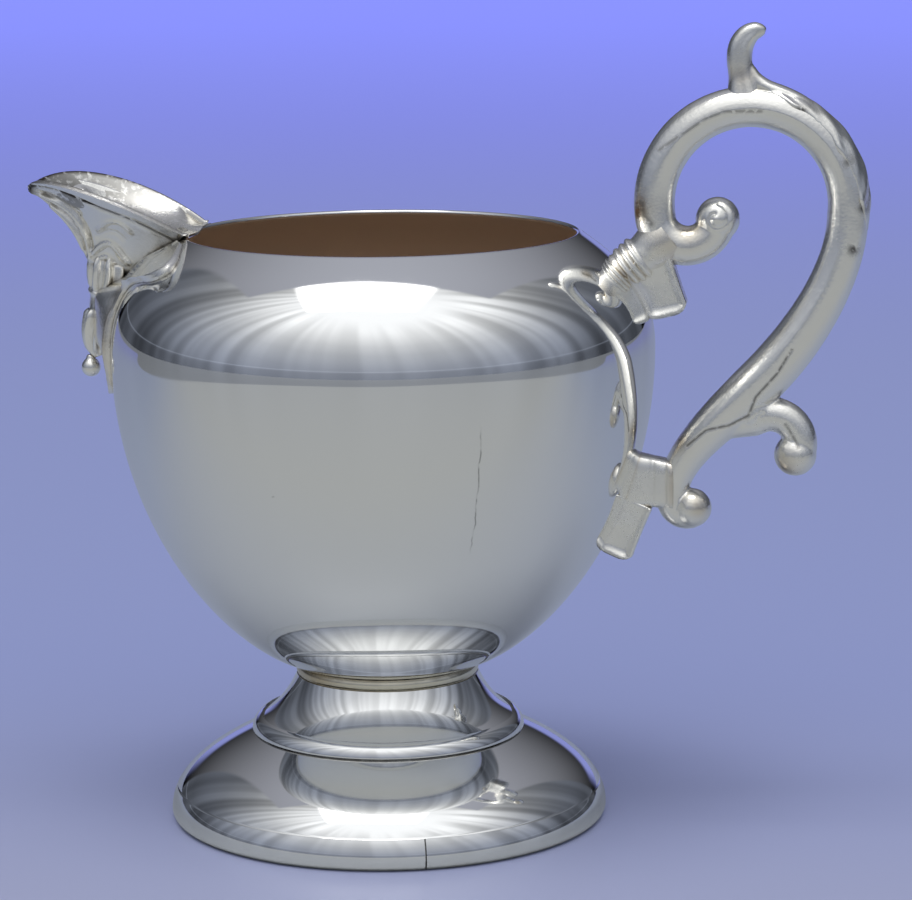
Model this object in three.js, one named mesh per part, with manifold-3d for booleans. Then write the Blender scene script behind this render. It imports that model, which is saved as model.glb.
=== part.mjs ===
// Footed cream jug in silver plate: a spun bowl on a trumpet foot, with a cast pouring lip and a cast
// scroll handle soldered on. Millimetres, +Z up, handle towards +X, lip towards -X, standing on Z = 0.
import * as THREE from 'three';
import { mergeVertices } from 'three/addons/utils/BufferGeometryUtils.js';
import Module from 'manifold-3d';

const wasm = await Module();
wasm.setup();

// Foot
const FOOT_RADIUS = 38.7;
const FOOT_WIDEST_HEIGHT = 1.6;
const FOOT_EDGE_ROUND = 0.4;
const FOOT_WALL = 1.1;
const RIM_BAND_HEIGHT = 5.5;
const RIM_BAND_WIDTH = 1.9;
const RIM_SEAM_WIDTH = 0.3;
const RIM_SEAM_ANGLE = -73;
const DOME_RISE = 9.1;
const DOME_TOP_RADIUS = 22.6;
const STEM_RISE = 11;
const STEM_TOP_RADIUS = 15.9;
const STEM_BORE_RADIUS = 12;
const BEAD_RADIUS = 24;
const BEAD_THICKNESS = 2.7;
const COLLAR_RADIUS = 16.2;
const COLLAR_HEIGHT = 2;

// Bowl
const NECK_RADIUS = 15.8;
const BOWL_DEPTH = 56.3;
const BELLY_RADIUS = 47.5;
const SHOULDER_RISE = 19.9;
const MOUTH_RADIUS = 34.6;
const BOWL_WALL = 1;
const NOTCH_DEPTH = 2.6;
const NOTCH_HALF_WIDTH = 8;

// Pouring lip
const LIP_REACH = 10.4;
const LIP_RISE = 8.1;
const LIP_TIP_HALF_WIDTH = 1.8;
const LIP_EDGE_THICKNESS = 1.1;
const LIP_KEEL_HALF_WIDTH = 1.6;
const LIP_CORNER_ANGLE = 17.5;
const LIP_HEEL_DROP = 5.8;
const LIP_HEEL_STANDOFF = 4.3;
const APRON_THICKNESS = 2;
const APRON_CROWN = 0.6;
const APRON_DROP = 27.6;
const APRON_TOP_GAP = 0.6;
const APRON_LOBE_ANGLE = 35;
const APRON_SIDE_ANGLE = 12;
const HUSK_RADIUS = 3.2;
const HUSK_LENGTH = 16.3;
const LIP_BEAD_RADIUS = 1.7;

// Handle
const CROWN_RADIUS = 16.6;
const CROWN_REACH = 16.5;
const CROWN_RISE = 5.3;
const VOLUTE_RADIUS = 5.4;
const VOLUTE_KNOB_RADIUS = 3.65;
const STEM_BAR_RADIUS = 3.4;
const BACK_BAR_RADIUS = 4.3;
const TAIL_BAR_RADIUS = 2.7;
const WAIST_REACH = 19;
const WAIST_RISE = 19;
const TOE_RADIUS = 2.8;
const TOE_KNOB_RADIUS = 3.45;
const TOE_DROP = 2.8;
const BRANCH_DROP = 11.8;
const BRANCH_SHIFT = 1;
const BRANCH_RADIUS = 5.3;
const BRANCH_BAR_RADIUS = 3;
const BRANCH_KNOB_RADIUS = 3.7;
const SPRIG_HEIGHT = 10.5;
const SPRIG_BAR_RADIUS = 2;
const LEAF_THICKNESS = 0.9;

// Joints between the handle and the bowl
const UPPER_JOINT_DROP = 6.3;
const LOWER_JOINT_DROP = 43.8;
const LOWER_STANDOFF = 6.9;
const FERRULE_ROOT_RADIUS = 3.4;
const FERRULE_END_RADIUS = 4.2;
const FERRULE_RING_RAISE = 0.45;
const FERRULE_RING_PITCH = 1.3;
const SOCKET_HEIGHT = 10;
const SOCKET_THICKNESS = 6.2;
const TONGUE_LENGTH = 9.6;
const TONGUE_END_WIDTH = 7.6;
const TONGUE_NECK_WIDTH = 5.4;
const TONGUE_THICKNESS = 5.6;

// Clearances and facets
const SOLDER_GAP = 0.3;
const ROUND_SEGMENTS = 36;
const BAR_SIDES = 10;

// Heights that stack up from the table
const domeTopHeight = RIM_BAND_HEIGHT + DOME_RISE;
const stemTopHeight = domeTopHeight + STEM_RISE;
const bowlBaseHeight = stemTopHeight + COLLAR_HEIGHT;
const bellyHeight = bowlBaseHeight + BOWL_DEPTH;
const mouthHeight = bellyHeight + SHOULDER_RISE;
const upperJointHeight = mouthHeight - UPPER_JOINT_DROP;
const lowerJointHeight = mouthHeight - LOWER_JOINT_DROP;

// Finishes
const polishedPlate = { color: 0xd9d9d5, metalness: 1, roughness: 0.06 };
const castPlate = { color: 0xcfcab9, metalness: 1, roughness: 0.24 };
const solderedBand = { color: 0xc4b995, metalness: 1, roughness: 0.3 };

const radians = THREE.MathUtils.degToRad;
const flat = (x, y) => new THREE.Vector2(x, y);
const spot = (x, y, z) => new THREE.Vector3(x, y, z);

// A closed solid from a geometry: shared corners merged, empty triangles left out, faces turned outwards.
function solidOf(geometry) {
  const bare = geometry.clone();
  bare.deleteAttribute('normal');
  bare.deleteAttribute('uv');
  const merged = mergeVertices(bare, 1e-5);
  const corners = merged.attributes.position;
  const triangles = [];
  let volume = 0;
  const [a, b, c] = [spot(), spot(), spot()];
  for (let i = 0; i < merged.index.count; i += 3) {
    const [p, q, r] = [0, 1, 2].map((k) => merged.index.getX(i + k));
    if (p === q || q === r || r === p) continue;
    triangles.push([p, q, r]);
    a.fromBufferAttribute(corners, p);
    b.fromBufferAttribute(corners, q);
    c.fromBufferAttribute(corners, r);
    volume += a.dot(b.cross(c));
  }
  const outward = triangles.map(([p, q, r]) => (volume < 0 ? [p, r, q] : [p, q, r]));
  return new wasm.Manifold(new wasm.Mesh({
    numProp: 3,
    vertProperties: new Float32Array(corners.array),
    triVerts: new Uint32Array(outward.flat()),
  }));
}

function geometryOf(solid) {
  const mesh = solid.getMesh();
  const geometry = new THREE.BufferGeometry();
  geometry.setAttribute('position', new THREE.BufferAttribute(mesh.vertProperties, mesh.numProp));
  geometry.setIndex(new THREE.BufferAttribute(mesh.triVerts, 1));
  geometry.computeVertexNormals();
  return geometry;
}

// A profile of (radius, height) points turned about the Z axis.
function revolve(profile) {
  const lathe = new THREE.LatheGeometry(profile, ROUND_SEGMENTS);
  lathe.rotateX(Math.PI / 2);
  return solidOf(lathe);
}

// A line of profile points moved sideways, to the left of its own direction.
function moved(line, distance) {
  return line.map((p, i) => {
    const before = line[Math.max(i - 1, 0)];
    const after = line[Math.min(i + 1, line.length - 1)];
    const along = after.clone().sub(before).normalize();
    return flat(p.x - along.y * distance, p.y + along.x * distance);
  });
}

function meshOfGrid(points, faces) {
  const geometry = new THREE.BufferGeometry().setFromPoints(points);
  geometry.setIndex(faces.flat());
  return solidOf(geometry);
}

const quad = (a, b, c, d) => [a, b, c, a, c, d];

// A closed skin over rings of points, with a cap on each end.
function skinOver(rings) {
  const sides = rings[0].length;
  const last = rings.length - 1;
  const points = rings.flat();
  const middle = (ring) => ring.reduce((sum, p) => sum.add(p), spot(0, 0, 0)).divideScalar(sides);
  points.push(middle(rings[0]), middle(rings[last]));
  const faces = [];
  for (let j = 0; j < sides; j++) {
    const next = (j + 1) % sides;
    for (let i = 0; i < last; i++) {
      faces.push(quad(i * sides + j, i * sides + next, (i + 1) * sides + next, (i + 1) * sides + j));
    }
    faces.push([rings.length * sides, next, j]);
    faces.push([rings.length * sides + 1, last * sides + j, last * sides + next]);
  }
  return meshOfGrid(points, faces);
}

// A plate between two grids of points with the same rows and columns.
function plateBetween(inner, outer) {
  const rows = inner.length;
  const columns = inner[0].length;
  const points = [...inner.flat(), ...outer.flat()];
  const inside = (i, j) => i * columns + j;
  const outside = (i, j) => rows * columns + inside(i, j);
  const faces = [];
  for (let i = 0; i < rows - 1; i++) {
    for (let j = 0; j < columns - 1; j++) {
      faces.push(quad(inside(i, j), inside(i + 1, j), inside(i + 1, j + 1), inside(i, j + 1)));
      faces.push(quad(outside(i, j), outside(i, j + 1), outside(i + 1, j + 1), outside(i + 1, j)));
    }
    faces.push(quad(inside(i, 0), outside(i, 0), outside(i + 1, 0), inside(i + 1, 0)));
    const end = columns - 1;
    faces.push(quad(inside(i, end), inside(i + 1, end), outside(i + 1, end), outside(i, end)));
  }
  for (let j = 0; j < columns - 1; j++) {
    faces.push(quad(inside(0, j), inside(0, j + 1), outside(0, j + 1), outside(0, j)));
    const end = rows - 1;
    faces.push(quad(inside(end, j), outside(end, j), outside(end, j + 1), inside(end, j + 1)));
  }
  return meshOfGrid(points, faces);
}

// A round bar along stations of { at, radius }, with facing(at) giving the direction one side looks.
function barAlong(stations, sides, facing, grow = 0) {
  const rings = stations.map(({ at, radius }, i) => {
    const before = stations[Math.max(i - 1, 0)].at;
    const after = stations[Math.min(i + 1, stations.length - 1)].at;
    const along = after.clone().sub(before).normalize();
    const across = along.clone().cross(facing(at)).normalize();
    const up = across.clone().cross(along);
    return Array.from({ length: sides }, (_, k) => {
      const turn = (2 * Math.PI * k) / sides;
      return at.clone()
        .addScaledVector(across, Math.cos(turn) * (radius + grow))
        .addScaledVector(up, Math.sin(turn) * (radius + grow));
    });
  });
  return skinOver(rings);
}

function ballAt(centre, radius) {
  const ball = new THREE.SphereGeometry(radius, 12, 8);
  ball.translate(centre.x, centre.y, centre.z);
  return solidOf(ball);
}

const blend = THREE.MathUtils.lerp;
const steps = (count, make) => Array.from({ length: count }, (_, i) => make(i / count));
const sideways = () => spot(0, 1, 0);
const inPlane = (p) => spot(p.x, 0, p.y);

// Bowl outline: a full side below the belly and a round shoulder above it
const bowlSide = new THREE.CubicBezierCurve(
  flat(NECK_RADIUS, bowlBaseHeight + 0.15),
  flat(NECK_RADIUS + 0.35 * (BELLY_RADIUS - NECK_RADIUS), bowlBaseHeight + 0.043 * BOWL_DEPTH),
  flat(BELLY_RADIUS, bellyHeight - 0.583 * BOWL_DEPTH),
  flat(BELLY_RADIUS, bellyHeight),
);
const bowlShoulder = new THREE.CubicBezierCurve(
  flat(BELLY_RADIUS, bellyHeight),
  flat(BELLY_RADIUS, bellyHeight + 0.533 * SHOULDER_RISE),
  flat(MOUTH_RADIUS + 0.48 * (BELLY_RADIUS - MOUTH_RADIUS), mouthHeight - 0.22 * SHOULDER_RISE),
  flat(MOUTH_RADIUS, mouthHeight),
);
const bowlOutline = [...bowlSide.getPoints(10), ...bowlShoulder.getPoints(8).slice(1)];

// The bowl's outside at a height: its radius and the way its surface faces there.
function bowlAt(height) {
  const above = bowlOutline.findIndex((p) => p.y >= height);
  const i = THREE.MathUtils.clamp(above, 1, bowlOutline.length - 1);
  const [low, high] = [bowlOutline[i - 1], bowlOutline[i]];
  const share = (height - low.y) / (high.y - low.y);
  const along = high.clone().sub(low).normalize();
  return { radius: THREE.MathUtils.lerp(low.x, high.x, share), out: along.y, up: -along.x };
}

// A place off the bowl's outside, at an angle about the axis and a height, lifted along its surface.
function onBowl(angle, height, lift) {
  const { radius, out, up } = bowlAt(height);
  const reach = radius + out * lift;
  return spot(reach * Math.cos(radians(angle)), reach * Math.sin(radians(angle)), height + up * lift);
}

// The bowl as a filled blank, grown by a gap, for cutting the castings that are soldered to it.
function bowlBlank(gap) {
  const skin = moved(bowlOutline, -gap);
  const [first, last] = [skin[0], skin[skin.length - 1]];
  return revolve([flat(0, first.y - gap), flat(first.x, first.y - gap), ...skin, flat(0, last.y + gap)]);
}

function makeBowl() {
  const inside = moved(bowlOutline, BOWL_WALL).reverse();
  const floor = inside[inside.length - 1];
  const shell = revolve([
    flat(0, bowlBaseHeight),
    flat(NECK_RADIUS - BOWL_WALL, bowlBaseHeight),
    ...bowlOutline,
    ...inside,
    flat(0, floor.y),
  ]);
  const notch = new THREE.BoxGeometry(MOUTH_RADIUS, 2 * NOTCH_HALF_WIDTH, 2 * NOTCH_DEPTH);
  notch.translate(-MOUTH_RADIUS, 0, mouthHeight);
  return shell.subtract(solidOf(notch));
}

// Foot outline: the dome runs from under the stem's bead to the widest place above the table
const domeCurve = new THREE.CubicBezierCurve(
  flat(DOME_TOP_RADIUS, domeTopHeight),
  flat(DOME_TOP_RADIUS + 0.38 * (FOOT_RADIUS - DOME_TOP_RADIUS), domeTopHeight - 0.1 * DOME_RISE),
  flat(FOOT_RADIUS, FOOT_WIDEST_HEIGHT + 0.8 * DOME_RISE),
  flat(FOOT_RADIUS, FOOT_WIDEST_HEIGHT),
);

// The place on the dome's curve at a height, found by halving.
function domeShareAt(height) {
  let [upper, lower] = [0, 1];
  for (let i = 0; i < 40; i++) {
    const middle = (upper + lower) / 2;
    if (domeCurve.getPoint(middle).y > height) upper = middle;
    else lower = middle;
  }
  return upper;
}

const bandShare = domeShareAt(RIM_BAND_HEIGHT);
const bandInsideRadius = FOOT_RADIUS - RIM_BAND_WIDTH;
const curvePart = (from, to, steps) => Array.from(
  { length: steps + 1 },
  (_, i) => domeCurve.getPoint(THREE.MathUtils.lerp(from, to, i / steps)),
);

function makeRimBand() {
  const outside = curvePart(bandShare, 1, 3);
  const ring = revolve([
    flat(bandInsideRadius, 0),
    flat(bandInsideRadius, RIM_BAND_HEIGHT),
    ...outside,
    flat(FOOT_RADIUS - FOOT_EDGE_ROUND, 0),
    flat(bandInsideRadius, 0),
  ]);
  const seam = new THREE.BoxGeometry(2 * FOOT_RADIUS, RIM_SEAM_WIDTH, 4 * RIM_BAND_HEIGHT);
  seam.translate(FOOT_RADIUS, 0, 0);
  seam.rotateZ(radians(RIM_SEAM_ANGLE));
  return ring.subtract(solidOf(seam));
}

function makeDome() {
  const outside = curvePart(0, bandShare, 7);
  const inside = moved(outside, -FOOT_WALL).reverse();
  const skirtRadius = bandInsideRadius - SOLDER_GAP;
  const skirtInside = skirtRadius - FOOT_WALL;
  const boreRadius = DOME_TOP_RADIUS - 3 * FOOT_WALL;
  return revolve([
    flat(boreRadius, domeTopHeight),
    ...outside,
    flat(skirtRadius, RIM_BAND_HEIGHT),
    flat(skirtRadius, FOOT_WALL),
    flat(skirtInside, FOOT_WALL),
    flat(skirtInside, RIM_BAND_HEIGHT),
    ...inside.filter((p) => p.y > RIM_BAND_HEIGHT + FOOT_WALL / 2),
    flat(boreRadius, domeTopHeight - FOOT_WALL),
    flat(boreRadius, domeTopHeight),
  ]);
}

// The stem flares from the collar to a rolled bead that stands on the dome.
function makeStem() {
  const beadHalf = BEAD_THICKNESS / 2;
  const beadCentre = flat(BEAD_RADIUS - beadHalf, domeTopHeight + 1.6 * beadHalf);
  const flare = new THREE.CubicBezierCurve(
    flat(STEM_TOP_RADIUS, stemTopHeight),
    flat(STEM_TOP_RADIUS + 0.5, stemTopHeight - 0.33 * STEM_RISE),
    flat(THREE.MathUtils.lerp(STEM_TOP_RADIUS, BEAD_RADIUS, 0.58), stemTopHeight - 0.44 * STEM_RISE),
    flat(beadCentre.x, beadCentre.y + beadHalf),
  ).getPoints(5);
  const bead = Array.from({ length: 5 }, (_, i) => {
    const turn = radians(60 - 36 * i);
    return flat(beadCentre.x + beadHalf * Math.cos(turn), beadCentre.y + beadHalf * Math.sin(turn));
  });
  const standRadius = DOME_TOP_RADIUS - FOOT_WALL / 2;
  const inside = moved(flare, -FOOT_WALL).slice(1, -1).reverse();
  return revolve([
    flat(STEM_BORE_RADIUS, stemTopHeight),
    ...flare,
    ...bead,
    flat(standRadius, domeTopHeight),
    flat(standRadius - 2 * FOOT_WALL, domeTopHeight),
    ...inside,
    flat(STEM_BORE_RADIUS, stemTopHeight - FOOT_WALL),
    flat(STEM_BORE_RADIUS, stemTopHeight),
  ]);
}

function makeCollar() {
  const waist = COLLAR_RADIUS - 0.25;
  return revolve([
    flat(STEM_BORE_RADIUS, stemTopHeight),
    flat(waist, stemTopHeight),
    flat(COLLAR_RADIUS, stemTopHeight + 0.35 * COLLAR_HEIGHT),
    flat(waist, bowlBaseHeight),
    flat(STEM_BORE_RADIUS, bowlBaseHeight),
    flat(STEM_BORE_RADIUS, stemTopHeight),
  ]);
}

// Pouring lip: the heel of its keel stands clear of the belly, so that the husk can hang from it
const heelHeight = mouthHeight - LIP_HEEL_DROP;
const heel = spot(-(BELLY_RADIUS + LIP_HEEL_STANDOFF), 0, heelHeight);
const lipTip = spot(heel.x - LIP_REACH, 0, mouthHeight + LIP_RISE);
const lipLength = -lipTip.x - MOUTH_RADIUS;
const lipPull = (x, y, z) => spot(x, y, z).multiplyScalar(lipLength);

function lipEdge(side, share, inset) {
  const corner = spot(
    -MOUTH_RADIUS * Math.cos(radians(LIP_CORNER_ANGLE)),
    MOUTH_RADIUS * Math.sin(radians(LIP_CORNER_ANGLE)),
    mouthHeight + LIP_EDGE_THICKNESS / 2,
  );
  const tip = lipTip.clone().setY(LIP_TIP_HALF_WIDTH);
  const edge = new THREE.CubicBezierCurve3(
    tip,
    tip.clone().add(lipPull(0.152, 0.406, 0.13)),
    corner.clone().add(lipPull(-0.391, 0.185, 0.243)),
    corner,
  ).getPoint(share);
  edge.x += inset * (1 - share);
  edge.y = side * (edge.y - inset * THREE.MathUtils.lerp(0.7, 1, share));
  return edge;
}

function lipKeel(share, grow) {
  const front = new THREE.CubicBezierCurve3(
    lipTip.clone().add(spot(0, 0, -LIP_EDGE_THICKNESS)),
    lipTip.clone().add(lipPull(0.156, 0, -0.09)),
    heel.clone().add(lipPull(-0.058, 0, 0.174)),
    heel,
  );
  const frontShare = 0.6;
  const inner = spot(-bowlAt(heelHeight).radius, 0, heelHeight - LIP_HEEL_DROP / 2);
  const point = share < frontShare
    ? front.getPoint(share / frontShare)
    : heel.clone().lerp(inner, (share - frontShare) / (1 - frontShare));
  return point.add(spot(-grow, 0, -grow));
}

function lipFloor(share) {
  return new THREE.CubicBezierCurve3(
    lipTip.clone().add(spot(LIP_EDGE_THICKNESS, 0, -0.35 * LIP_EDGE_THICKNESS)),
    lipTip.clone().add(lipPull(0.254, 0, -0.109)),
    spot(-MOUTH_RADIUS - 0.29 * lipLength, 0, mouthHeight - LIP_EDGE_THICKNESS / 2),
    spot(-MOUTH_RADIUS, 0, mouthHeight - NOTCH_DEPTH + SOLDER_GAP),
  ).getPoint(share);
}

function lipBlank(grow) {
  const half = [1, 0.75, 0.5, 0.25, 0];
  const columns = [...half.map((rise) => [-1, rise]), ...half.reverse().map((rise) => [1, rise])];
  const rows = [...steps(13, (share) => share), 1];
  const outer = rows.map((share) => columns.map(([side, rise]) => {
    const keel = lipKeel(share, grow);
    keel.y = side * Math.min(LIP_KEEL_HALF_WIDTH, LIP_TIP_HALF_WIDTH * (0.6 + 2 * share));
    return keel.lerp(lipEdge(side, share, -grow), rise);
  }));
  const inner = rows.map((share) => columns.map(([side, rise]) => {
    const floor = lipFloor(share);
    floor.y = side * LIP_KEEL_HALF_WIDTH * 0.4;
    return floor.lerp(lipEdge(side, share, LIP_EDGE_THICKNESS), rise);
  }));
  return plateBetween(inner, outer);
}

// The apron hugs the bowl below the lip: two round lobes at the rim and a shield that narrows downwards.
function apronBlank(grow) {
  const top = mouthHeight - APRON_TOP_GAP;
  const outline = [
    [0, 0.5], [0.05, 0.8], [0.14, 0.92], [0.35, 1], [0.6, 1], [0.75, 1.1],
  ].map(([rise, share]) => [rise, share * APRON_SIDE_ANGLE]);
  outline.push(
    [0.79, 0.9 * APRON_LOBE_ANGLE],
    [0.865, APRON_LOBE_ANGLE],
    [0.945, 0.87 * APRON_LOBE_ANGLE],
    [1, 0.74 * APRON_LOBE_ANGLE],
  );
  const columns = [-1, -0.75, -0.5, -0.25, 0, 0.25, 0.5, 0.75, 1];
  const grid = (lift) => outline.map(([rise, angle]) => {
    const height = top - APRON_DROP + rise * APRON_DROP + (rise < 0.5 ? -grow : grow / 3);
    const reach = angle + THREE.MathUtils.radToDeg(grow / BELLY_RADIUS);
    return columns.map((share) => onBowl(180 - reach * share, height, lift(share)));
  });
  return plateBetween(
    grid(() => -APRON_THICKNESS),
    grid((share) => SOLDER_GAP + APRON_THICKNESS + APRON_CROWN * (1 - share * share) + grow),
  );
}

function makeApron() {
  return apronBlank(0).subtract(bowlBlank(SOLDER_GAP));
}

function makeLip() {
  return lipBlank(0).subtract(bowlBlank(SOLDER_GAP)).subtract(apronBlank(SOLDER_GAP));
}

const apronFront = (height) => onBowl(180, height, SOLDER_GAP + APRON_THICKNESS + APRON_CROWN);

// The husk hangs below the lip: a leafy cup, a pinched neck and a tapering pod.
function makeHusk() {
  const stations = [
    [-0.06, 1.12], [0.1, 1.06], [0.24, 0.94], [0.34, 0.74], [0.42, 0.66], [0.5, 0.76], [0.64, 0.8],
    [0.78, 0.66], [0.9, 0.44], [1, 0.22],
  ].map(([share, width]) => {
    const height = heelHeight - share * HUSK_LENGTH;
    const radius = width * HUSK_RADIUS;
    const front = blend(heel.x - SOLDER_GAP, apronFront(height).x - 1.8 * radius, share * share);
    return { at: spot(front + radius, 0, height), radius };
  });
  return barAlong(stations, BAR_SIDES, sideways)
    .subtract(lipBlank(SOLDER_GAP))
    .subtract(apronBlank(SOLDER_GAP));
}

function makeLipBead() {
  const height = heelHeight - HUSK_LENGTH - SOLDER_GAP - LIP_BEAD_RADIUS;
  const seat = apronFront(height);
  return ballAt(spot(seat.x - SOLDER_GAP - LIP_BEAD_RADIUS, 0, height), LIP_BEAD_RADIUS);
}

// Handle centre line: a volute tangent to the crown, the back down to the waist, the tail and the toe
const crownCentre = flat(BELLY_RADIUS + CROWN_REACH, mouthHeight + CROWN_RISE);
const crownStart = 190;
const crownEnd = -6;
const onArc = (centre, radius, angle) => flat(
  centre.x + radius * Math.cos(radians(angle)),
  centre.y + radius * Math.sin(radians(angle)),
);
const voluteCentre = onArc(crownCentre, CROWN_RADIUS - VOLUTE_RADIUS, crownStart);
const voluteEnd = 352;
const toeStart = flat(bowlAt(lowerJointHeight).radius + LOWER_STANDOFF, lowerJointHeight - TOE_DROP);
const toeCentre = flat(toeStart.x + TOE_RADIUS, toeStart.y);
const waist = flat(BELLY_RADIUS + WAIST_REACH, lowerJointHeight + WAIST_RISE);
const crownOut = onArc(crownCentre, CROWN_RADIUS, crownEnd);
const backCurve = new THREE.CubicBezierCurve(
  crownOut,
  flat(crownOut.x, crownOut.y - 0.6 * CROWN_RADIUS),
  flat(waist.x + 0.363 * WAIST_REACH, waist.y + 0.379 * WAIST_RISE),
  waist,
);
const tailCurve = new THREE.CubicBezierCurve(
  waist,
  flat(waist.x - 0.363 * WAIST_REACH, waist.y - 0.379 * WAIST_RISE),
  flat(toeStart.x, toeStart.y + 0.42 * WAIST_RISE),
  toeStart,
);
const knobNeck = 0.85;

const handleStations = [
  ...steps(9, (t) => [
    onArc(voluteCentre, VOLUTE_RADIUS, blend(voluteEnd, crownStart, t)),
    blend(knobNeck, 1, t) * STEM_BAR_RADIUS,
  ]),
  ...steps(17, (t) => [onArc(crownCentre, CROWN_RADIUS, blend(crownStart, crownEnd, t)), STEM_BAR_RADIUS]),
  ...steps(8, (t) => [backCurve.getPoint(t), blend(STEM_BAR_RADIUS, BACK_BAR_RADIUS, t)]),
  ...steps(8, (t) => [tailCurve.getPoint(t), blend(BACK_BAR_RADIUS, TAIL_BAR_RADIUS, t)]),
  ...steps(5, (t) => [
    onArc(toeCentre, TOE_RADIUS, blend(180, 290, t)),
    blend(TAIL_BAR_RADIUS, knobNeck * TAIL_BAR_RADIUS, t),
  ]),
].map(([place, radius]) => ({ at: inPlane(place), radius }));

const voluteKnob = inPlane(onArc(voluteCentre, VOLUTE_RADIUS, voluteEnd));
const toeKnob = inPlane(flat(toeCentre.x + 0.25 * TOE_RADIUS, toeCentre.y - 0.5 * TOE_RADIUS));

function handleBlank(grow) {
  return barAlong(handleStations, BAR_SIDES, sideways, grow)
    .add(ballAt(voluteKnob, VOLUTE_KNOB_RADIUS + grow))
    .add(ballAt(toeKnob, TOE_KNOB_RADIUS + grow));
}

// The branch leaves the tail below the waist and curls over to a knob.
function makeBranch() {
  const centre = flat(waist.x + BRANCH_SHIFT, waist.y - BRANCH_DROP);
  const end = -22;
  const root = inPlane(flat(centre.x - 1.5 * BRANCH_RADIUS, centre.y + 0.6 * BRANCH_RADIUS));
  const stations = [
    { at: root, radius: 0.8 * BRANCH_BAR_RADIUS },
    ...steps(9, (t) => ({
      at: inPlane(onArc(centre, BRANCH_RADIUS, blend(125, end, t))),
      radius: BRANCH_BAR_RADIUS,
    })),
  ];
  const knob = ballAt(inPlane(onArc(centre, 0.89 * BRANCH_RADIUS, end)), BRANCH_KNOB_RADIUS);
  return barAlong(stations, BAR_SIDES, sideways).add(knob).subtract(handleBlank(SOLDER_GAP));
}

// The thumb sprig stands on the crown, with a leaf running down the crown's back from its root.
function makeSprig() {
  const rootAngle = 95;
  const seat = STEM_BAR_RADIUS + SOLDER_GAP;
  const root = onArc(crownCentre, CROWN_RADIUS + STEM_BAR_RADIUS, rootAngle);
  const stem = [
    [0.04, -0.12, 1.2], [0.02, 0.2, 0.94], [0, 0.45, 0.95], [0.02, 0.7, 0.9], [0.12, 0.9, 0.74],
    [0.26, 0.98, 0.54], [0.36, 0.96, 0.3],
  ].map(([across, rise, width]) => ({
    at: inPlane(flat(root.x + across * SPRIG_HEIGHT, root.y + rise * SPRIG_HEIGHT)),
    radius: width * SPRIG_BAR_RADIUS,
  }));
  const columns = [-1, -0.5, 0, 0.5, 1];
  const leaf = (lift) => Array.from({ length: 11 }, (_, i) => {
    const share = i / 10;
    const angle = blend(rootAngle + 4, 8, share);
    const spread = blend(58, 16, share);
    return columns.map((column) => {
      const around = radians(spread * column);
      const rise = 0.5 + 4.2 * Math.max(0, 0.42 - share) ** 1.2;
      const off = seat + lift * rise * (1 - 0.5 * column * column);
      const place = onArc(crownCentre, CROWN_RADIUS + off * Math.cos(around), angle);
      return spot(place.x, off * Math.sin(around), place.y);
    });
  });
  return barAlong(stem, BAR_SIDES, sideways)
    .add(plateBetween(leaf(0), leaf(LEAF_THICKNESS)))
    .subtract(handleBlank(SOLDER_GAP * 0.9));
}

// The ringed ferrule runs from the bowl's shoulder up to the volute.
const ferruleRoot = inPlane(flat(bowlAt(upperJointHeight).radius, upperJointHeight));
const ferruleEnd = inPlane(onArc(voluteCentre, VOLUTE_RADIUS, 230));
const ferruleLength = ferruleEnd.distanceTo(ferruleRoot);
const ferruleAxis = ferruleEnd.clone().sub(ferruleRoot).normalize();

function ferruleBlank(grow) {
  const width = (along) => blend(FERRULE_ROOT_RADIUS, FERRULE_END_RADIUS, along / ferruleLength) + grow;
  const sunk = -2 * FERRULE_ROOT_RADIUS;
  const half = FERRULE_RING_PITCH / 3;
  const rings = [1, 2, 3].flatMap((count) => {
    const along = count * FERRULE_RING_PITCH;
    return [
      flat(width(along - half), along - half),
      flat(width(along) + FERRULE_RING_RAISE, along),
      flat(width(along + half), along + half),
    ];
  });
  const profile = [
    flat(0, sunk), flat(FERRULE_ROOT_RADIUS + grow, sunk), ...rings,
    flat(width(ferruleLength), ferruleLength), flat(0, ferruleLength),
  ];
  const geometry = new THREE.LatheGeometry(profile, 16);
  geometry.applyQuaternion(new THREE.Quaternion().setFromUnitVectors(spot(0, 1, 0), ferruleAxis));
  geometry.translate(ferruleRoot.x, 0, ferruleRoot.z);
  return solidOf(geometry);
}

function makeFerrule() {
  return ferruleBlank(0).subtract(bowlBlank(SOLDER_GAP)).subtract(handleBlank(SOLDER_GAP));
}

// A flared tongue hanging from a joint: head is the middle of its top edge, lean turns it about Y.
function tongueBlank(head, lean) {
  const neck = TONGUE_NECK_WIDTH / 2;
  const end = TONGUE_END_WIDTH / 2;
  const round = 0.12 * TONGUE_LENGTH;
  const outline = new THREE.Shape();
  outline.moveTo(-neck, 0);
  outline.quadraticCurveTo(-neck, -0.5 * TONGUE_LENGTH, -end, round - TONGUE_LENGTH);
  outline.quadraticCurveTo(-end, -TONGUE_LENGTH, round - end, -TONGUE_LENGTH);
  outline.lineTo(end - round, -TONGUE_LENGTH);
  outline.quadraticCurveTo(end, -TONGUE_LENGTH, end, round - TONGUE_LENGTH);
  outline.quadraticCurveTo(neck, -0.5 * TONGUE_LENGTH, neck, 0);
  const bevel = 0.1 * TONGUE_THICKNESS;
  const tongue = new THREE.ExtrudeGeometry(outline, {
    depth: TONGUE_THICKNESS - 2 * bevel,
    curveSegments: 4,
    bevelSegments: 1,
    bevelThickness: bevel,
    bevelSize: bevel,
    bevelOffset: -bevel,
  });
  tongue.translate(0, 0, bevel - TONGUE_THICKNESS / 2);
  tongue.rotateX(Math.PI / 2);
  tongue.rotateY(radians(-lean));
  tongue.translate(head.x, 0, head.z);
  return solidOf(tongue);
}

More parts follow.
